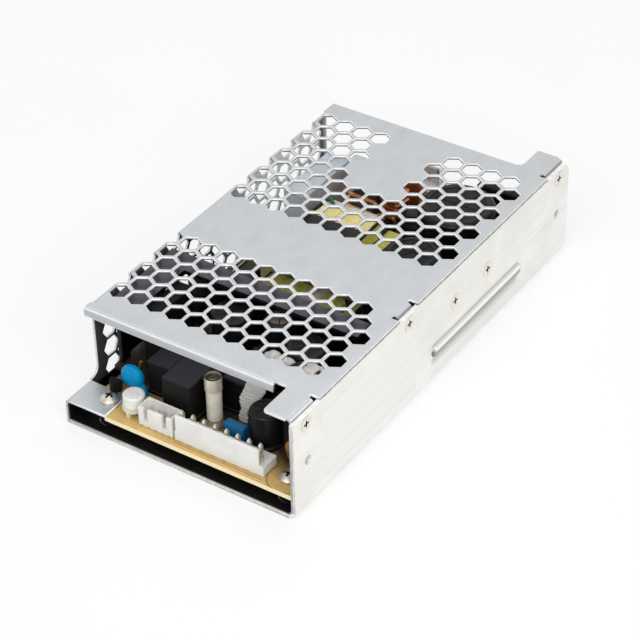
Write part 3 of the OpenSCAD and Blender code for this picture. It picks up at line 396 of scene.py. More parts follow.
def ruled_sticker():
    """Blank pale sticker with faint ruled lines, 6.2 mm apart, as on an empty form."""
    look = Look("ruled_sticker", Coat_Weight=0.2, Coat_Roughness=0.3)
    across = look.maths("FRACT", look.product(look.spot()[2], 1000 / 6.2))
    line = look.product(look.maths("LESS_THAN", across, 0.03), 0.25)
    paper = look.ramp(look.noise(0.4, 4.0), (232, 230, 226), (243, 241, 237))
    colour = look.mix(line, paper, lin((150, 150, 152)))
    return look.done(colour, look.noise(2.0), (0.42, 0.55), (look.noise(0.3, 4.0), 0.006, 0.5))


def resistor_paint():
    """Painted resistor body, without rings."""
    look = Look("banded_body", Coat_Weight=0.4, Coat_Roughness=0.15)
    colour = look.ramp(look.noise(0.5, 4.0), (196, 164, 118), (214, 184, 140))
    colour = look.patchy(colour, 0.4, look.noise(2.0), (210, 205, 198))
    return look.done(colour, look.noise(1.5), (0.25, 0.42), (look.noise(0.4, 4.0), 0.01, 0.5))


# The looks of the record's slots; plain() takes dark, light, roughness, grain, relief, patch size and depth
zinc_sheet()
aluminium_sheet()
laminate()
wall_screw()
metal("zinc_fastener", (196, 193, 188), (226, 224, 220), (0.18, 0.36))
metal("tinned_contact", (224, 217, 198), (244, 240, 228), (0.2, 0.36), 0.4, bare=0.6)
metal("copper_wire", (244, 146, 92), (255, 186, 138), (0.24, 0.4), 0.6, bare=0.45)
taped("yellow_tape", (246, 224, 136), (254, 241, 178), 8.0)
taped("olive_tape", (208, 198, 86), (236, 228, 124), 6.5)
# Painted light: the heat sink's up-facing faces are lighter, as lit from above, over near-black upright faces
topped("dark_anodised", ((74, 71, 79), (92, 89, 97)), ((17, 16, 18), (24, 23, 25)), (0.34, 0.5), (1, 0.1, 1),
       Metallic=0.55)
plain("black_film", (13, 13, 14), (22, 22, 24), (0.3, 0.46), 1.6, 0.03, 14.0, 0.2, Specular_IOR_Level=0.35)
plain("black_moulding", (15, 14, 14), (27, 26, 26), (0.4, 0.58), 0.18, 0.012, 5.0, 0.2,
      Specular_IOR_Level=0.14)
plain("grey_rubber", (150, 152, 158), (172, 174, 180), (0.6, 0.8), 0.3, 0.02)
plain("white_nylon", (233, 232, 228), (244, 243, 239), (0.36, 0.52), 0.4, 0.008, 7.0, 0.05,
      Subsurface_Weight=0.12, Subsurface_Scale=MM)
plain("ivory_plastic", (226, 218, 198), (240, 234, 218), (0.4, 0.55), 0.3, 0.01, 4.0, 0.08)
plain("blue_coating", (0, 150, 210), (0, 166, 226), (0.18, 0.3), 0.7, 0.03, 3.0, 0.12, Specular_IOR_Level=0.14)
plain("tan_coating", (176, 126, 70), (200, 150, 92), (0.2, 0.36), 0.6, 0.02, 3.0, 0.15,
      Coat_Weight=0.4, Coat_Roughness=0.15)
plain("cream_sleeve", (250, 240, 222), (255, 250, 238), (0.25, 0.42), 0.5, 0.01, 4.0, 0.08,
      Coat_Weight=0.3, Coat_Roughness=0.12)
plain("blue_moulding", (8, 98, 150), (20, 118, 170), (0.28, 0.44), 0.3, 0.012, 3.0, 0.12,
      Specular_IOR_Level=0.3)
plain("black_sleeve", (17, 17, 19), (27, 27, 30), (0.26, 0.42), 1.2, 0.015, 6.0, 0.18, Specular_IOR_Level=0.3)
plain("ferrite", (38, 38, 40), (58, 58, 60), (0.5, 0.7), 0.25, 0.02, 4.0, 0.2)
plain("pale_moulding", (204, 214, 222), (218, 226, 233), (0.3, 0.46), 0.4, 0.012, 6.0, 0.08)
plain("red_coating", (104, 18, 16), (136, 30, 24), (0.2, 0.34), 0.8, 0.03, 4.0, 0.2,
      Coat_Weight=0.4, Coat_Roughness=0.12)
plain("brown_coating", (186, 92, 44), (212, 118, 66), (0.24, 0.4), 0.8, 0.03, 4.0, 0.18,
      Coat_Weight=0.3, Coat_Roughness=0.15)
plain("white_silicone", (238, 234, 226), (249, 247, 242), (0.3, 0.48), 1.2, 0.05, 4.0, 0.1,
      Subsurface_Weight=0.1, Subsurface_Scale=MM)
# Looks of single nodes, pieces and faces
BRASS = metal("brass_wire", (204, 172, 104), (232, 206, 146), (0.22, 0.4))
# Painted shade: the cover's right cut edge, in the gap by the wall, darker than its other cut edges
EDGE_STEEL_SHADE = metal("edge_steel_shade", (150, 148, 142), (176, 174, 168), (0.45, 0.6), 0.3, (1, 0.2, 1), 0.01, 0.3)
CUT_STEEL = cut_steel()
CUT_ALUMINIUM = metal("cut_aluminium", (240, 239, 236), (252, 251, 249), (0.4, 0.58), 0.3, (1, 1, 0.2),
                      0.01, 0.15)
PAPER = plain("paper_strip", (222, 216, 210), (238, 234, 230), (0.6, 0.8), 0.25, 0.02, 3.0, 0.08)
GREEN = plain("green_sleeve", (14, 92, 44), (26, 116, 60), (0.3, 0.45), 0.4, 0.015, 3.0, 0.15)
RESISTOR = resistor_paint()
STICKER = ruled_sticker()
PINK = plain("pink_sleeve", (252, 222, 218), (255, 238, 236), (0.3, 0.45), 0.8, 0.02, 3.0, 0.12)
# Painted shade on the can tops, and a paler copy painted as lit for one can
VENT_SHADE = metal("vent_metal_shade", (42, 42, 46), (60, 60, 64), (0.34, 0.48), 0.4)
VENT_LIT = metal("vent_lit", (138, 130, 116), (160, 152, 138), (0.4, 0.55), 0.4, bare=0.5)
ZINC_INSIDE = cover_inside()
BOARD_SCREW = board_screw()
# Painted shade: the transformer winding is near black in front of y = 94.6 mm, where it lies in shade
WINDING = taped("winding_tape", (246, 224, 136), (254, 241, 178), 8.0, deep(94.6))
FUSE_CAP = topped("fuse_cap", ((58, 46, 38), (84, 70, 60)), ((226, 216, 194), (244, 236, 218)), (0.24, 0.4),
                  Metallic=0.5)
# Painted light: relay tops lighter, as lit from above, over black sides
RELAY = topped("relay_case", ((48, 46, 53), (66, 63, 71)), ((15, 14, 14), (27, 26, 26)), (0.4, 0.58),
               Specular_IOR_Level=0.14)
# Painted highlight: the rolled rims round the cover's openings and outer edges are paler than the sheet, as
# edges that catch the light
EDGE_HIGHLIGHT = metal("rim_highlight", (226, 228, 229), (246, 247, 248), (0.36, 0.5), 0.4, bare=0.5)
OWN_LOOK = {"board_screws": BOARD_SCREW, "transformer_winding": WINDING, "output_fuse": FUSE_CAP,
            "relay_a": RELAY, "relay_b": RELAY, "relay_c": RELAY}
SLOT_OF = {s["node"]: s["material_slot"] for s in frame["record"]["subparts"]}
for name, node in frame["nodes"].items():
    node.data.materials.clear()
    node.data.materials.append(OWN_LOOK.get(name, LOOKS[SLOT_OF[name]]))


# Pieces

def piece(name, bm, look=None, slot=None, stands_for=(), smooth=35.0, body="supply"):
    """A new object from bm, which is drawn in millimetres; its look is the slot's where none is given."""
    bmesh.ops.transform(bm, matrix=TO_FRAME, verts=bm.verts)
    mesh = bpy.data.meshes.new(name)
    bm.to_mesh(mesh)
    bm.free()
    made = bpy.data.objects.new(name, mesh)
    bpy.context.scene.collection.objects.link(made)
    mesh.materials.append(look if look else LOOKS[slot])
    mesh.polygons.foreach_set("use_smooth", [True] * len(mesh.polygons))
    mesh.set_sharp_from_angle(angle=math.radians(smooth))
    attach(made, body)
    if stands_for:
        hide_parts(*stands_for)
    return made


def dressed(node, bm, look=None):
    """The piece that stands for a node and has its slot."""
    made = piece(node + "_dressed", bm, look, SLOT_OF[node], (node,), 50.0)
    even = made.modifiers.new("even_normals", "WEIGHTED_NORMAL")
    even.keep_sharp = True
    even.weight = 80
    return made


def solid(node):
    """A welded copy of a node's solid, in millimetres."""
    bm = bmesh.new()
    bm.from_mesh(frame["nodes"][node].data)
    bmesh.ops.transform(bm, matrix=TO_FRAME.inverted(), verts=bm.verts)
    bmesh.ops.remove_doubles(bm, verts=bm.verts, dist=0.002)
    return bm


def node_box(node):
    """A node's box in millimetres, with y from the front edge."""
    return [TO_FRAME.inverted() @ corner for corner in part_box(node)]


def dress(node, edge):
    """The node's solid again, with its sharp edges broken by the given width."""
    even, sharp = math.radians(0.6), math.radians(28.0)
    bm = solid(node)
    bmesh.ops.dissolve_limit(bm, angle_limit=even, verts=bm.verts, edges=bm.edges, delimit=set())
    edges = [e for e in bm.edges if len(e.link_faces) == 2 and e.calc_face_angle(0) > sharp]
    bmesh.ops.bevel(bm, geom=edges, offset=edge, offset_type="OFFSET", segments=2, profile=0.5,
                    affect="EDGES", clamp_overlap=True)
    bmesh.ops.recalc_face_normals(bm, faces=bm.faces)
    dressed(node, bm, OWN_LOOK.get(node))


CUT_TURN = 1.0  # radians; an edge of a flat face that turns less is a fold
EVEN, LEVEL_SLACK = 0.9999, 0.004  # how straight a flat face looks along its axis, and how level it lies
RIM_SHARE, FOLD_CLEAR = 0.35, 1.2  # a rim's share of the free width; its distance to a fold, in rims
SHARPEST = 0.2  # a corner that is sharper keeps its edge
OPPOSITE, INWARD = 0.7, 0.5  # cosines of a gap to the two edges that it lies between


def border(flat):
    """The steps (from, to, cut) round a set of faces; a step that isn't cut is a fold of the sheet."""
    steps, inside = [], set(flat)
    for face in flat:
        for loop in face.loops:
            others = [g for g in loop.edge.link_faces if g is not face]
            if not (others and others[0] in inside):
                cut = bool(others) and face.normal.angle(others[0].normal) > CUT_TURN
                steps.append((loop.vert, loop.link_loop_next.vert, cut))
    return steps


def free_width(spots, heads, tails, fold, sign, width):
    """The sheet's width inward from each point, up to three rims; 0 beside a fold."""
    most = 3 * width
    runs = spots[tails] - spots[heads]
    lengths = np.hypot(*runs.T)
    facing = np.column_stack((-runs[:, 1], runs[:, 0])) * (sign / lengths)[:, None]
    leaning = np.zeros_like(spots)
    np.add.at(leaning, heads, facing)
    np.add.at(leaning, tails, facing)
    room = np.full(len(spots), most)
    for i, spot in enumerate(spots):
        along = np.clip(((spot - spots[heads]) * runs).sum(1) / lengths ** 2, 0, 1)
        gap = spots[heads] + runs * along[:, None] - spot
        span = np.hypot(*gap.T)
        if (span[fold] < FOLD_CLEAR * width).any():
            room[i] = 0
        opposite = -(gap * facing).sum(1) > OPPOSITE * span
        inward = (gap * leaning[i]).sum(1) > INWARD * span
        for j in np.flatnonzero((span < most) & (span > 1e-5) & opposite & inward):
            for k in (i, heads[j], tails[j]):
                room[k] = min(room[k], span[j])
    return room


def fill(bm, steps, u, v, sign):
    """Triangles inside a closed border of (from, to) steps, seen in the plane of u and v."""
    order = list(dict.fromkeys(a for a, _ in steps))
    rank = {w: i for i, w in enumerate(order)}
    _, _, rings, origins, _, _ = delaunay_2d_cdt(
        [Vector((w.co[u], w.co[v])) for w in order], [(rank[a], rank[b]) for a, b in steps], [], 0, 1e-5)
    ends = np.array([[(w.co[u], w.co[v]) for w in step] for step in steps])
    (x1, y1), (x2, y2) = ends[:, 0].T, ends[:, 1].T
    for ring in rings:
        verts = [order[origins[i][0]] for i in ring if origins[i]]
        x, y = (sum(w.co[k] for w in verts) / len(verts) for k in (u, v))
        crossed = ((y1 > y) != (y2 > y)) & (x < (x2 - x1) * (y - y1) / (y2 - y1 + 1e-12) + x1)
        if len(verts) == 3 and crossed.sum() % 2:
            bm.faces.new(verts if sign > 0 else verts[::-1])


def rim(bm, axis, sign, level, width, drop, index):
    """Rolls the cut edges of a sheet's flat face over; the face lies at the given level across the axis."""
    u, v = (axis + 1) % 3, (axis + 2) % 3
    normal = Vector((0, 0, 0))
    normal[axis] = sign
    flat = [f for f in bm.faces
            if f.normal[axis] * sign > EVEN and abs(f.verts[0].co[axis] - level) < LEVEL_SLACK]
    steps = border(flat)
    before, after = {}, {}
    for step in steps:
        after.setdefault(step[0], []).append(step)
        before.setdefault(step[1], []).append(step)
    rank = {w: i for i, w in enumerate(after)}
    spots = np.array([(w.co[u], w.co[v]) for w in after])
    heads, tails = (np.array([rank[step[k]] for step in steps]) for k in (0, 1))
    room = free_width(spots, heads, tails, np.array([not step[2] for step in steps]), sign, width)
    inner, moved = {}, []
    for vert in after:
        inner[vert] = vert
        near = before.get(vert, []) + after[vert]
        free = room[rank[vert]]
        if len(near) == 2 and near[0][2] and near[1][2] and free > 0:
            sides = [normal.cross((b.co - a.co).normalized()) for a, b, _ in near]
            lap = 1 + sides[0].dot(sides[1])
            if lap > SHARPEST:
                reach = min(width, RIM_SHARE * free) / lap
                inner[vert] = bm.verts.new(vert.co + (sides[0] + sides[1]) * reach)
                moved.append(vert)
    bmesh.ops.delete(bm, geom=flat, context="FACES")
    for vert in moved:
        vert.co -= normal * drop
    for a, b, _ in steps:
        ring = list(dict.fromkeys((a, b, inner[b], inner[a])))
        if len(ring) > 2:
            bm.faces.new(ring).material_index = index
    fill(bm, [(inner[a], inner[b]) for a, b, _ in steps], u, v, sign)


def dress_sheet(node, thick, flats, looks, special=()):
    """A folded sheet again, with broken edges; its cut faces and special planes take looks of their own."""
    bm = solid(node)
    for flat in flats:
        rim(bm, *flat)
    bm.normal_update()
    for face in bm.faces:
        for axis, sign, level, *_ in flats:
            depth = [(level - w.co[axis]) * sign for w in face.verts]
            if abs(face.normal[axis]) < 0.8 and min(depth) > -0.01 and max(depth) < thick + 0.01:
                face.material_index = 1
        for axis, sign, level, index in special:
            if face.normal[axis] * sign > 0.9 and all(abs(level - w.co[axis]) < 0.02 for w in face.verts):
                face.material_index = index
    made = dressed(node, bm)
    for look in looks:
        made.data.materials.append(look)


def band(bm, low, high):
    """The faces between two closed rings of points."""
    pairs = [(i, (i + 1) % len(low)) for i in range(len(low))]
    return [bm.faces.new((low[i], low[j], high[j], high[i])) for i, j in pairs]


def slab(bm, feet, tops):
    """The faces of a solid between two closed rings of points."""
    return [bm.faces.new(tops), bm.faces.new(feet[::-1])] + band(bm, feet, tops)


def around(sides):
    return [2 * math.pi * k / sides for k in range(sides)]


def sweep(bm, path, radius, sides=10):
    """A round wire along a path of points; radius is a number or one number per point."""
    path = [Vector(p) for p in path]
    radii = radius if isinstance(radius, list) else [radius] * len(path)
    rings, across = [], None
    for i, p in enumerate(path):
        along = (path[min(i + 1, len(path) - 1)] - path[max(i - 1, 0)]).normalized()
        if across is None:
            across = along.orthogonal()
        across = (across - along * across.dot(along)).normalized()
        other = along.cross(across)
        rings.append([bm.verts.new(p + (across * math.cos(t) + other * math.sin(t)) * radii[i])
                      for t in around(sides)])
    for low, high in zip(rings, rings[1:]):
        band(bm, low, high)
    bm.faces.new(rings[0][::-1])
    bm.faces.new(rings[-1])


def lathe(bm, profile, matrix, sides):
    """A turned form from (radius, height) points, closed at both ends, then placed by the matrix."""
    rings = [[bm.verts.new(matrix @ Vector((r * math.cos(t), r * math.sin(t), z))) for t in around(sides)]
             for r, z in profile]
    for low, high in zip(rings, rings[1:]):
        band(bm, low, high)
    bm.faces.new(rings[0][::-1])
    bm.faces.new(rings[-1])


def curve(points, steps=8):
    """Points of a smooth line through the given ones."""
    pts = [Vector(p) for p in points]
    pts = [2 * pts[0] - pts[1]] + pts + [2 * pts[-1] - pts[-2]]
    line = []
    for a, b, c, d in zip(pts, pts[1:], pts[2:], pts[3:]):
        for k in range(steps):
            t = k / steps
            line.append(0.5 * (2 * b + (c - a) * t + (2 * a - 5 * b + 4 * c - d) * t * t
                               + (3 * b - a - 3 * c + d) * t ** 3))
    return line + [pts[-2]]


def run_together(bm, voxel, rounds):
    """The solids in bm under one soft skin, as a dipped coat or a poured bead sets."""
    mesh = bpy.data.meshes.new("skin")
    bm.to_mesh(mesh)
    bm.free()
    form = bpy.data.objects.new("skin", mesh)
    bpy.context.scene.collection.objects.link(form)
    skin = form.modifiers.new("skin", "REMESH")
    skin.mode = "VOXEL"
    skin.voxel_size = voxel
    soft = form.modifiers.new("soft", "SMOOTH")
    soft.factor = 0.5
    soft.iterations = rounds
    made = bmesh.new()
    made.from_mesh(form.evaluated_get(bpy.context.evaluated_depsgraph_get()).to_mesh())
    bpy.data.objects.remove(form)
    bpy.data.meshes.remove(mesh)
    return made


def ball(bm, x, y, z, rx, ry, rz):
    bmesh.ops.create_icosphere(bm, subdivisions=3, radius=1.0,
                               matrix=Matrix.Translation((x, y, z)) @ Matrix.Diagonal((rx, ry, rz, 1)))


def roughen(bm, size, depth, seed):
    """Small uneven swells along the surface."""
    bm.normal_update()
    shift = Vector((seed, seed * 0.7, 0))
    moves = [(w, w.normal * (noise.noise(w.co / size + shift) * depth)) for w in bm.verts]
    for vert, step in moves:
        vert.co += step


def keep_within(bm, low, high):
    for vert in bm.verts:
        vert.co = [min(max(c, a), b) for c, a, b in zip(vert.co, low, high)]


def rounded(a0, b0, a1, b1, r, steps=6):
    """Outline of a rounded rectangle, turning left."""
    line = []
    left, right, low, high = a0 + r, a1 - r, b0 + r, b1 - r
    for ca, cb, start in ((right, low, -90), (right, high, 0), (left, high, 90), (left, low, 180)):
        for k in range(steps + 1):
            t = math.radians(start + 90 * k / steps)
            line.append((ca + r * math.cos(t), cb + r * math.sin(t)))
    return line


# Sheet metal and mouldings

# A rim's width, drop and look; the flats are (axis, side, level) of a sheet's faces
ROLLED, BROKEN = (0.3, 0.1, 4), (0.1, 0.1, 1)
# On the cover, ROLLED rims take the painted edge highlight, and the inner faces, the right cut edge and the
# walls of the top's openings take painted shade
dress_sheet("cover", 0.8, (
    (2, 1, 35.5, *ROLLED), (2, -1, 34.7, *BROKEN), (0, -1, -41.5, *ROLLED), (0, 1, -40.7, *BROKEN),
    (1, -1, 12.0, *ROLLED), (2, 1, 8.9, *ROLLED), (2, -1, 8.1, *BROKEN)),
    (CUT_STEEL, ZINC_INSIDE, EDGE_STEEL_SHADE, EDGE_HIGHLIGHT), ((2, -1, 34.7, 2), (0, 1, -40.7, 2), (0, 1, 41.2, 3)))
dress_sheet("chassis", 1.5, (
    (0, 1, WALL_FACE, *BROKEN), (0, -1, 40.0, *BROKEN), (2, 1, 1.5, *BROKEN), (2, -1, 0.0, *BROKEN)),
    (CUT_ALUMINIUM,))
for node, edge in (
    ("output_header", 0.16), ("signal_header", 0.14), ("input_header", 0.16), ("relay_a", 0.2),
    ("relay_b", 0.2), ("relay_c", 0.2), ("film_capacitor", 0.22), ("box_capacitor", 0.18),
    ("x_capacitor", 0.25), ("heat_sink", 0.15), ("transformer_core", 0.3), ("output_choke_core", 0.3),
    ("circuit_board", 0.06), ("bridge_rectifier", 0.2), ("output_choke_winding", 0.8),
):
    dress(node, edge)


# Capacitor vents

CANS = [f"output_capacitor_{c}" for c in "abcde"] + ["bulk_capacitor", "filter_capacitor"]
# The can whose top is painted as lit; the other tops take painted shade
LIT_CANS = ("output_capacitor_b",)
VENT_SHARE = 0.366  # of the can's width, from its middle
SCORE, CROWN = 0.32, 0.06
VENT_TOP, VENT_FOOT = 0.16, 0.25  # below the can's rim


def vents():
    """Bare metal between the scored lines on top of each can, in painted shade, painted as lit on
    output_capacitor_b.
    """
    bm = bmesh.new()
    for node in CANS:
        low, high = node_box(node)
        middle = (low + high) / 2
        reach = (high.x - low.x) * VENT_SHARE
        shrink = 1 - SCORE / reach
        for k in range(6):
            start, end = math.radians(60 * k), math.radians(60 * k + 60)
            mid = (start + end) / 2
            arc = [(math.cos(a) * reach, math.sin(a) * reach) for a in np.linspace(start, end, 9)]
            tops, feet = [], []
            for x, y in [(0.0, 0.0)] + arc:
                x, y = x * shrink + math.cos(mid) * SCORE, y * shrink + math.sin(mid) * SCORE
                swell = CROWN * (1 - (math.hypot(x, y) / reach) ** 2)
                tops.append(bm.verts.new((middle.x + x, middle.y + y, high.z - VENT_TOP + swell)))
                feet.append(bm.verts.new((middle.x + x, middle.y + y, high.z - VENT_FOOT)))
            for face in slab(bm, feet, tops):
                face.material_index = int(node in LIT_CANS)
    piece("can_vents", bm, VENT_SHADE).data.materials.append(VENT_LIT)


vents()


# Dipped parts

def dipped(node, x, y, d, t, lift, spread, voxel):
    """A lens-shaped body whose coat runs down onto its two legs; the legs are bare wire."""
    bm = bmesh.new()
    z = BOARD_TOP + lift + d / 2
    r, h = d / 2, t / 2
    feet = [(side, x + side * spread / 2) for side in (-1, 1)]
    turn = Matrix.Translation((x, y, z)) @ Matrix.Rotation(math.pi / 2, 4, "X")
    profile = [(r * math.sin(a), -h * 0.98 * math.copysign(abs(math.cos(a)) ** 0.62, math.cos(a)))
               for a in np.linspace(0.06, math.pi - 0.06, 22)]
    lathe(bm, profile, turn, 40)
    # The runs of coat leave the body at two heights, bow aside and thin out; wide legs have longer runs
    wide = spread / 2 > r * 0.6
    root, waist, bow, drop, thick = (0.4, 0.82, r * 0.28, 0.7, 0.7) if wide else (0.35, 0.75, 0.1, 0.85, 0.85)
    for side, foot in feet:
        line = curve([(x + side * min(spread * 0.42, r * 0.6), y, z - r * root),
                      (foot - side * bow, y, z - r * waist),
                      (foot, y, BOARD_TOP + lift * drop), (foot, y, BOARD_TOP + lift * 0.35)], 6)
        sweep(bm, line, list(np.linspace(h * thick, 0.45, len(line))), 14)
    bm = run_together(bm, voxel, 6)
    roughen(bm, d * 0.35, 0.05 * voxel / 0.15, d)
    keep_within(bm, *node_box(node))
    piece(node + "_coat", bm, slot=SLOT_OF[node], stands_for=(node,), smooth=70.0)
    bm = bmesh.new()
    for _, foot in feet:
        sweep(bm, [(foot, y, BOARD_TOP + z) for z in (-1.6, 0.2, lift * 0.5)], 0.3)
    piece(node + "_legs", bm, slot="tinned_contact")


# (x, y, width, thickness, height of its lower edge, distance of its legs, voxel of the coat)
dipped("disc_capacitor", -26.8, 14.6, 8, 3.6, 2, 9.5, 0.14)
dipped("ceramic_capacitor", 31, 14.5, 5, 2.4, 1.6, 3, 0.12)
dipped("varistor", 9.5, 136, 14, 4.6, 2.4, 7.5, 0.24)
dipped("thermistor", -6, 139.81, 12, 4.2, 2.4, 6, 0.22)


# Silicone beads

# The strap between the board and the cover's lip: (z, left edge, right edge)
STRAP = (
    (8.6, 7.9, 10.4), (9.8, 7.8, 10.4), (11.2, 8.2, 10.3), (12.6, 8.7, 10.6), (14.0, 8.6, 11.3),
    (15.4, 8.3, 12.4), (16.8, 8.4, 13.4), (18.2, 8.9, 14.4), (19.6, 9.6, 15.4), (21.0, 10.2, 16.3),
    (22.3, 10.7, 17.0), (23.4, 11.2, 17.3),
)
# The balls of the bead and the dab on the parts behind it: (middle, half sizes)
BEAD = (
    (13.0, 30.6, 22.6, 2.2, 2.0, 2.2), (14.0, 30.6, 25.6, 2.5, 1.9, 2.4), (16.6, 30.5, 27.2, 2.7, 1.9, 2.2),
    (19.0, 30.9, 26.8, 2.4, 1.8, 2.4), (16.6, 31.4, 23.8, 2.8, 1.8, 2.6), (18.6, 32.0, 21.6, 2.3, 1.9, 2.6),
    (13.4, 31.6, 27.4, 2.3, 1.7, 1.7), (11.6, 31.4, 26.2, 1.8, 1.6, 1.8),
)
DAB = (
    (28.4, 30.2, 30.0, 2.0, 1.7, 0.75), (26.6, 31.4, 29.8, 1.8, 1.6, 0.8), (25.0, 32.7, 28.6, 1.7, 1.3, 1.7),
    (29.9, 31.4, 29.0, 1.3, 1.4, 1.2), (27.8, 28.4, 30.0, 2.4, 1.8, 0.75), (28.6, 27.0, 30.0, 1.7, 1.3, 0.6),
)


def strap_balls():
    low, high = node_box("adhesive")
    y = (low.y + high.y) / 2
    balls = []
    for z, left, right in STRAP:
        for x in np.linspace(left + 0.4, right - 0.4, max(3, int((right - left) / 0.7))):
            swell = noise.noise((x * 0.5, z * 0.45, 3.1))
            balls.append((x, y + 0.12 * swell, z, 0.85, 0.62 + 0.12 * swell, 1.0))
    return balls


def silicone(name, balls, voxel, rounds, swells, stands_for=()):
    """Balls run together into one piece, which keeps within the node that it stands for."""
    bm = bmesh.new()
    for each in balls:
        ball(bm, *each)
    bm = run_together(bm, voxel, rounds)
    roughen(bm, *swells)
    for node in stands_for:
        keep_within(bm, *node_box(node))
    piece(name, bm, slot="white_silicone", stands_for=stands_for, smooth=80.0)


silicone("silicone_strap", strap_balls(), 0.2, 4, (1.6, 0.14, 4.0), ("adhesive",))
silicone("silicone_bead", BEAD, 0.25, 6, (2.0, 0.2, 9.0))
silicone("silicone_dab", DAB, 0.2, 5, (1.6, 0.15, 13.0))


# Windings

WIRE, WIRE_GAP = 0.64, 0.68  # the choke wire's radius, and from its middle to the ring
TURNS, PITCH = 7, math.radians(18.5)
RING_BORE = 5.0


def choke_wire():
    """Two windings on the line choke's ring, each one wire, with its ends down to the board."""
    low, high = node_box("line_choke_core")
    middle = (low + high) / 2
    half, outer = (high.x - low.x) / 2, (high.z - low.z) / 2
    # one turn round the ring's cross-section: (radius, across), from the outer face and back
    ring = []
    corners = ((outer, half, 0), (RING_BORE, half, 90), (RING_BORE, -half, 180), (outer, -half, 270))
    for radius, across, start in corners:
        for k in range(6):
            a = math.radians(start + 18 * k)
            ring.append((radius + WIRE_GAP * math.cos(a), across + WIRE_GAP * math.sin(a)))
    bm = bmesh.new()
    for base, out in ((0, 1), (math.pi, -1)):
        path = []
        for turn in range(TURNS):
            for k, (r, across) in enumerate(ring):
                angle = base + (turn - TURNS / 2 + k / len(ring)) * PITCH
                path.append((middle.x + across, middle.y + r * math.cos(angle),
                             middle.z + r * math.sin(angle)))
        if path[0][2] >= path[-1][2]:
            path.reverse()
        x, y, _ = path[0]
        sweep(bm, [(x + 0.6, y + out * 0.4, IN_BOARD), (x, y + out * 0.2, 10.4)] + path, WIRE)
        x, y, z = path[-1]
        side = middle.x - half - WIRE_GAP - 0.05
        sweep(bm, curve([(x, y, z), (side, y + out * 0.5, z - 3), (side, middle.y + out * 12.2, middle.z),
                         (side + 0.2, middle.y + out * 9.0, 12.0),
                         (side + 0.4, middle.y + out * 8.2, IN_BOARD)]), WIRE)
    piece("line_choke_wire", bm, slot="copper_wire", stands_for=("line_choke_winding",), smooth=60.0)


choke_wire()


# Tapes

def wrap(name, outline, place, ends, thick, look=None, slot=None):
    """A tape wrapped round a closed outline: place turns (a, b, along) into a point."""
    bm = bmesh.new()
    count = len(outline)
    points = [Vector(p) for p in outline]
    outs = []
    for i in range(count):
        along = (points[(i + 1) % count] - points[i - 1]).normalized()
        outs.append(Vector((along.y, -along.x)))
    rows = []
    for end, skin in ((ends[0], 0.0), (ends[0], thick), (ends[1], thick), (ends[1], 0.0)):
        rows.append([bm.verts.new(place(*(points[i] + outs[i] * skin), end)) for i in range(count)])
    for a, b in zip(rows, rows[1:] + rows[:1]):
        band(bm, a, b)
    bmesh.ops.recalc_face_normals(bm, faces=bm.faces)
    piece(name, bm, look, slot, smooth=40.0)


low, high = node_box("transformer_core")
wrap("core_tape", rounded(low.x - 0.04, low.y - 0.04, high.x + 0.04, high.y + 0.04, 0.35),
     lambda a, b, c: (a, b, c), (low.z + 1.3, high.z - 1.3), 0.14, slot="yellow_tape")
low, high = node_box("output_choke_winding")
wrap("choke_band", rounded(low.y - 0.02, low.z + 0.4, high.y + 0.02, high.z + 0.02, 0.9),
     lambda a, b, c: (c + 0.12 * (b - 18), a, b), (1.6, 7.6), 0.16, PINK)
low, high = node_box("output_choke_core")
wrap("choke_tape", rounded(low.y - 0.04, low.z - 0.04, high.y + 0.04, high.z + 0.04, 0.35),
     lambda a, b, c: (c, a, b), (15.2, 17.8), 0.14, slot="olive_tape")
# Painted shade: the transformer's yellow tape on this side takes the olive look, as yellow tape in shade
bm = bmesh.new()
for low, high in (((6.1, 90.5, 26.0), (6.24, 101.4, 30.9)), ((6.4, 88.0, 25.6), (10.3, 105.8, 25.74))):
    size, middle = Vector(high) - Vector(low), (Vector(high) + Vector(low)) / 2
    bmesh.ops.create_cube(bm, size=1.0, matrix=Matrix.Translation(middle) @ Matrix.Diagonal((*size, 1)))
piece("side_tape", bm, slot="olive_tape")


def flap(name, look, slot, profile):
    """A loose strip along the back of the transformer's winding; profile is (back, up) from its top edge."""
    low, high = node_box("transformer_winding")
    bm = bmesh.new()
    grid = []
    for x in np.linspace(low.x + 0.3, high.x - 0.2, 28):
        sway = noise.noise((x * 0.35, 1.7, profile[0][0]))
        grid.append([bm.verts.new((x, high.y + back + 0.12 * sway * (i + 1), high.z + up + 0.05 * sway))
                     for i, (back, up) in enumerate(profile)])
    for a, b in zip(grid, grid[1:]):
        for i in range(len(profile) - 1):
            bm.faces.new((a[i], b[i], b[i + 1], a[i + 1]))
    skin = bmesh.ops.extrude_face_region(bm, geom=bm.faces[:])
    for vert in [g for g in skin["geom"] if isinstance(g, bmesh.types.BMVert)]:
        vert.co.z += 0.09
    bmesh.ops.recalc_face_normals(bm, faces=bm.faces)
    piece(name, bm, look, slot, smooth=50.0)


flap("tape_end", None, "yellow_tape", ((-4.6, -0.02), (-2.8, 0.06), (-1.4, 0.08), (-0.2, 0.06), (0.5, -0.05)))
flap("paper_strip", PAPER, None, ((-0.6, -0.12), (0.8, -0.1), (2.2, -0.3), (3.7, -1.0)))
flap("tape_tail", None, "yellow_tape", ((3.2, -0.86), (3.9, -1.12), (4.6, -1.5), (5.0, -1.9)))
bm = bmesh.new()
sweep(bm, curve([(-15.8, 103.2, 25.4), (-16.0, 103.4, 28.6), (-15.2, 103.4, 31.2), (-13.4, 103.0, 31.75),
                 (-11.6, 101.4, 31.7)]), 0.62, 12)
piece("green_sleeve", bm, GREEN, smooth=60.0)


# Small parts on the board

RESISTOR_RADIUS, RESISTOR_HALF, LEAD_SPAN = 1.15, 3.1, 11
LEAD, CLEAR = 0.28, 0.15  # a lead's radius, and the space under a resistor


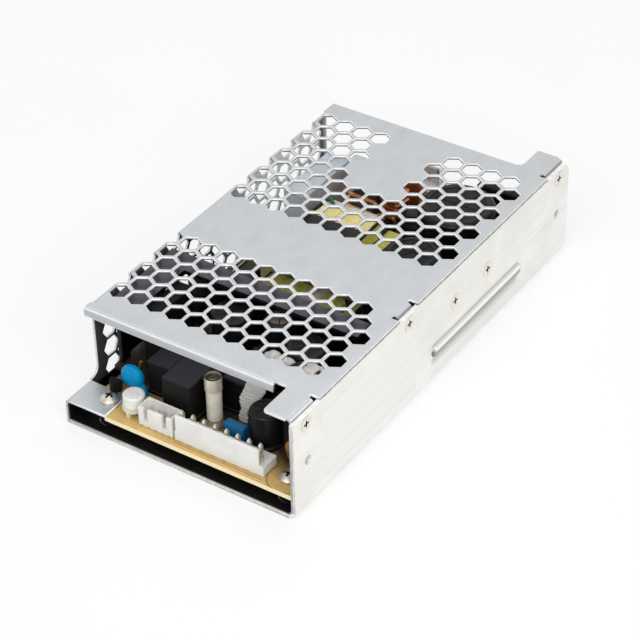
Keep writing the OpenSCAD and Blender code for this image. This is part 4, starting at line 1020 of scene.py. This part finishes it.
def resistor(name, x, y, turn):
    """Axial resistor lying on its bent leads."""
    r, half, foot = RESISTOR_RADIUS, RESISTOR_HALF, LEAD_SPAN / 2
    flat = Matrix.Translation((x, y, BOARD_TOP)) @ Matrix.Rotation(turn, 4, "Z")
    lying = Matrix.Translation((0, 0, r + CLEAR)) @ Matrix.Rotation(math.pi / 2, 4, "Y")
    bm = bmesh.new()
    ends = [(0.35, half), (0.9, half - 0.12), (r, half - 0.5), (r, half - 1.3), (r * 0.86, half - 1.8)]
    lathe(bm, [(wide, -z) for wide, z in ends] + ends[::-1], flat @ lying, 20)
    piece(name, bm, RESISTOR, smooth=50.0)
    bm = bmesh.new()
    for s in (-1, 1):
        spots = [(s * (half - 0.2), 0, r + CLEAR), (s * (foot - 0.5), 0, r + CLEAR), (s * foot, 0, r - 0.3),
                 (s * foot, 0, -LEAD_DEPTH)]
        sweep(bm, [flat @ Vector(p) for p in curve(spots, 5)], LEAD)
    piece(name + "_leads", bm, slot="tinned_contact", smooth=60.0)


def jumper(bm, x0, y0, x1, y1):
    """A wire bridge that lies on the board between two holes."""
    lift = BOARD_TOP + 0.32
    dx, dy = (x1 - x0) * 0.12, (y1 - y0) * 0.12
    sweep(bm, curve([(x0, y0, IN_BOARD), (x0, y0, lift - 0.25), (x0 + dx, y0 + dy, lift),
                     (x1 - dx, y1 - dy, lift), (x1, y1, lift - 0.25), (x1, y1, IN_BOARD)], 5), LEAD, 8)


resistor("resistor_a", 22.5, 150.5, 0.0)
resistor("resistor_b", -30.0, 134.5, math.pi / 2)
resistor("resistor_c", -33.5, 70.0, math.pi / 2)
bm = bmesh.new()
for spots in ((14.5, 154.2, 28.0, 154.2), (-36.0, 128, -36.0, 142), (-24.5, 152.0, -24.5, 142.5),
              (-37.0, 92, -37.0, 78), (-34.5, 92, -24.5, 92)):
    jumper(bm, *spots)
piece("jumpers", bm, slot="tinned_contact", smooth=60.0)
bm = bmesh.new()
sweep(bm, curve([(-27.6, 19.0, IN_BOARD), (-27.6, 19.0, 11.0), (-27.4, 19.0, 14.0),
                 (-26.7, 18.9, 16.8)], 6), 0.45)
piece("brass_lead", bm, BRASS, "yellow_fastener", smooth=60.0)


# Sticker on the wall

bm = bmesh.new()
outline = rounded(14.8, 4.6, 65.2, 29.4, 1.4)
slab(bm, *([bm.verts.new((x, a, b)) for a, b in outline] for x in (WALL_FACE, WALL_FACE + 0.06)))
bmesh.ops.recalc_face_normals(bm, faces=bm.faces)
piece("blank_sticker", bm, STICKER)


# Light, floor, background

SKY, SKY_STRENGTH = (0.97, 0.985, 1.0, 1), 0.52
PURE_WHITE = (1, 1, 1, 1)
FLOOR_GLOW = 0.65


def lamp(name, place, target, size, watts):
    data = bpy.data.lights.new(name, "AREA")
    data.shape = "DISK"
    data.size = size
    data.energy = watts
    made = bpy.data.objects.new(name, data)
    bpy.context.scene.collection.objects.link(made)
    made.location = place
    made.rotation_euler = (Vector(target) - Vector(place)).to_track_quat("-Z", "Y").to_euler()


def seen_rays(tree):
    """1 for the rays that show the surroundings, 0 for those that light the object."""
    path = tree.nodes.new("ShaderNodeLightPath")
    fac = path.outputs["Is Camera Ray"]
    for ray in ("Is Glossy Ray", "Is Transmission Ray"):
        either = tree.nodes.new("ShaderNodeMath")
        either.operation = "MAXIMUM"
        tree.links.new(fac, either.inputs[0])
        tree.links.new(path.outputs[ray], either.inputs[1])
        fac = either.outputs[0]
    return fac


def studio():
    """A soft sky that lights the object, seen as plain white."""
    world = bpy.data.worlds.new("studio")
    bpy.context.scene.world = world
    world.use_nodes = True
    tree = world.node_tree
    tree.nodes.clear()
    out = tree.nodes.new("ShaderNodeOutputWorld")
    pick = tree.nodes.new("ShaderNodeMixShader")
    tree.links.new(seen_rays(tree), pick.inputs[0])
    for socket, colour, strength in ((1, SKY, SKY_STRENGTH), (2, PURE_WHITE, 1.0)):
        made = tree.nodes.new("ShaderNodeBackground")
        made.inputs[0].default_value = colour
        made.inputs[1].default_value = strength
        tree.links.new(made.outputs[0], pick.inputs[socket])
    tree.links.new(pick.outputs[0], out.inputs[0])


def white_card():
    """Off-white card that glows a little, so that it runs into the background."""
    card = Look("floor_card", Roughness=0.9)
    card.feed("Base Color", card.ramp(card.noise(60.0), (248, 248, 248), (251, 251, 251), 0.3, 0.7))
    glow = card.node("ShaderNodeEmission", {"Color": PURE_WHITE, "Strength": 1.0})
    share = card.product(seen_rays(card.tree), FLOOR_GLOW)
    blend = card.node("ShaderNodeMixShader", {0: share, 1: card.bsdf.outputs[0], 2: glow.outputs[0]})
    card.tree.links.new(blend.outputs[0], card.out.inputs[0])
    return card.mat


lamp("key", (0.75, -0.35, 0.62), (0, 0, 0.02), 0.7, 3.3)
lamp("top", (-0.15, 0.25, 1.1), (0, 0, 0.02), 0.9, 2.8)
lamp("front", (0.1, -0.72, 0.72), (0, -0.05, 0.01), 0.6, 2.3)
studio()
bm = bmesh.new()
bmesh.ops.create_grid(bm, x_segments=1, y_segments=1, size=6.0)
mesh = bpy.data.meshes.new("floor")
bm.to_mesh(mesh)
bm.free()
floor = bpy.data.objects.new("floor", mesh)
bpy.context.scene.collection.objects.link(floor)
floor.location.z = -0.0002
mesh.materials.append(white_card())

bpy.context.scene.view_settings.view_transform = "Standard"
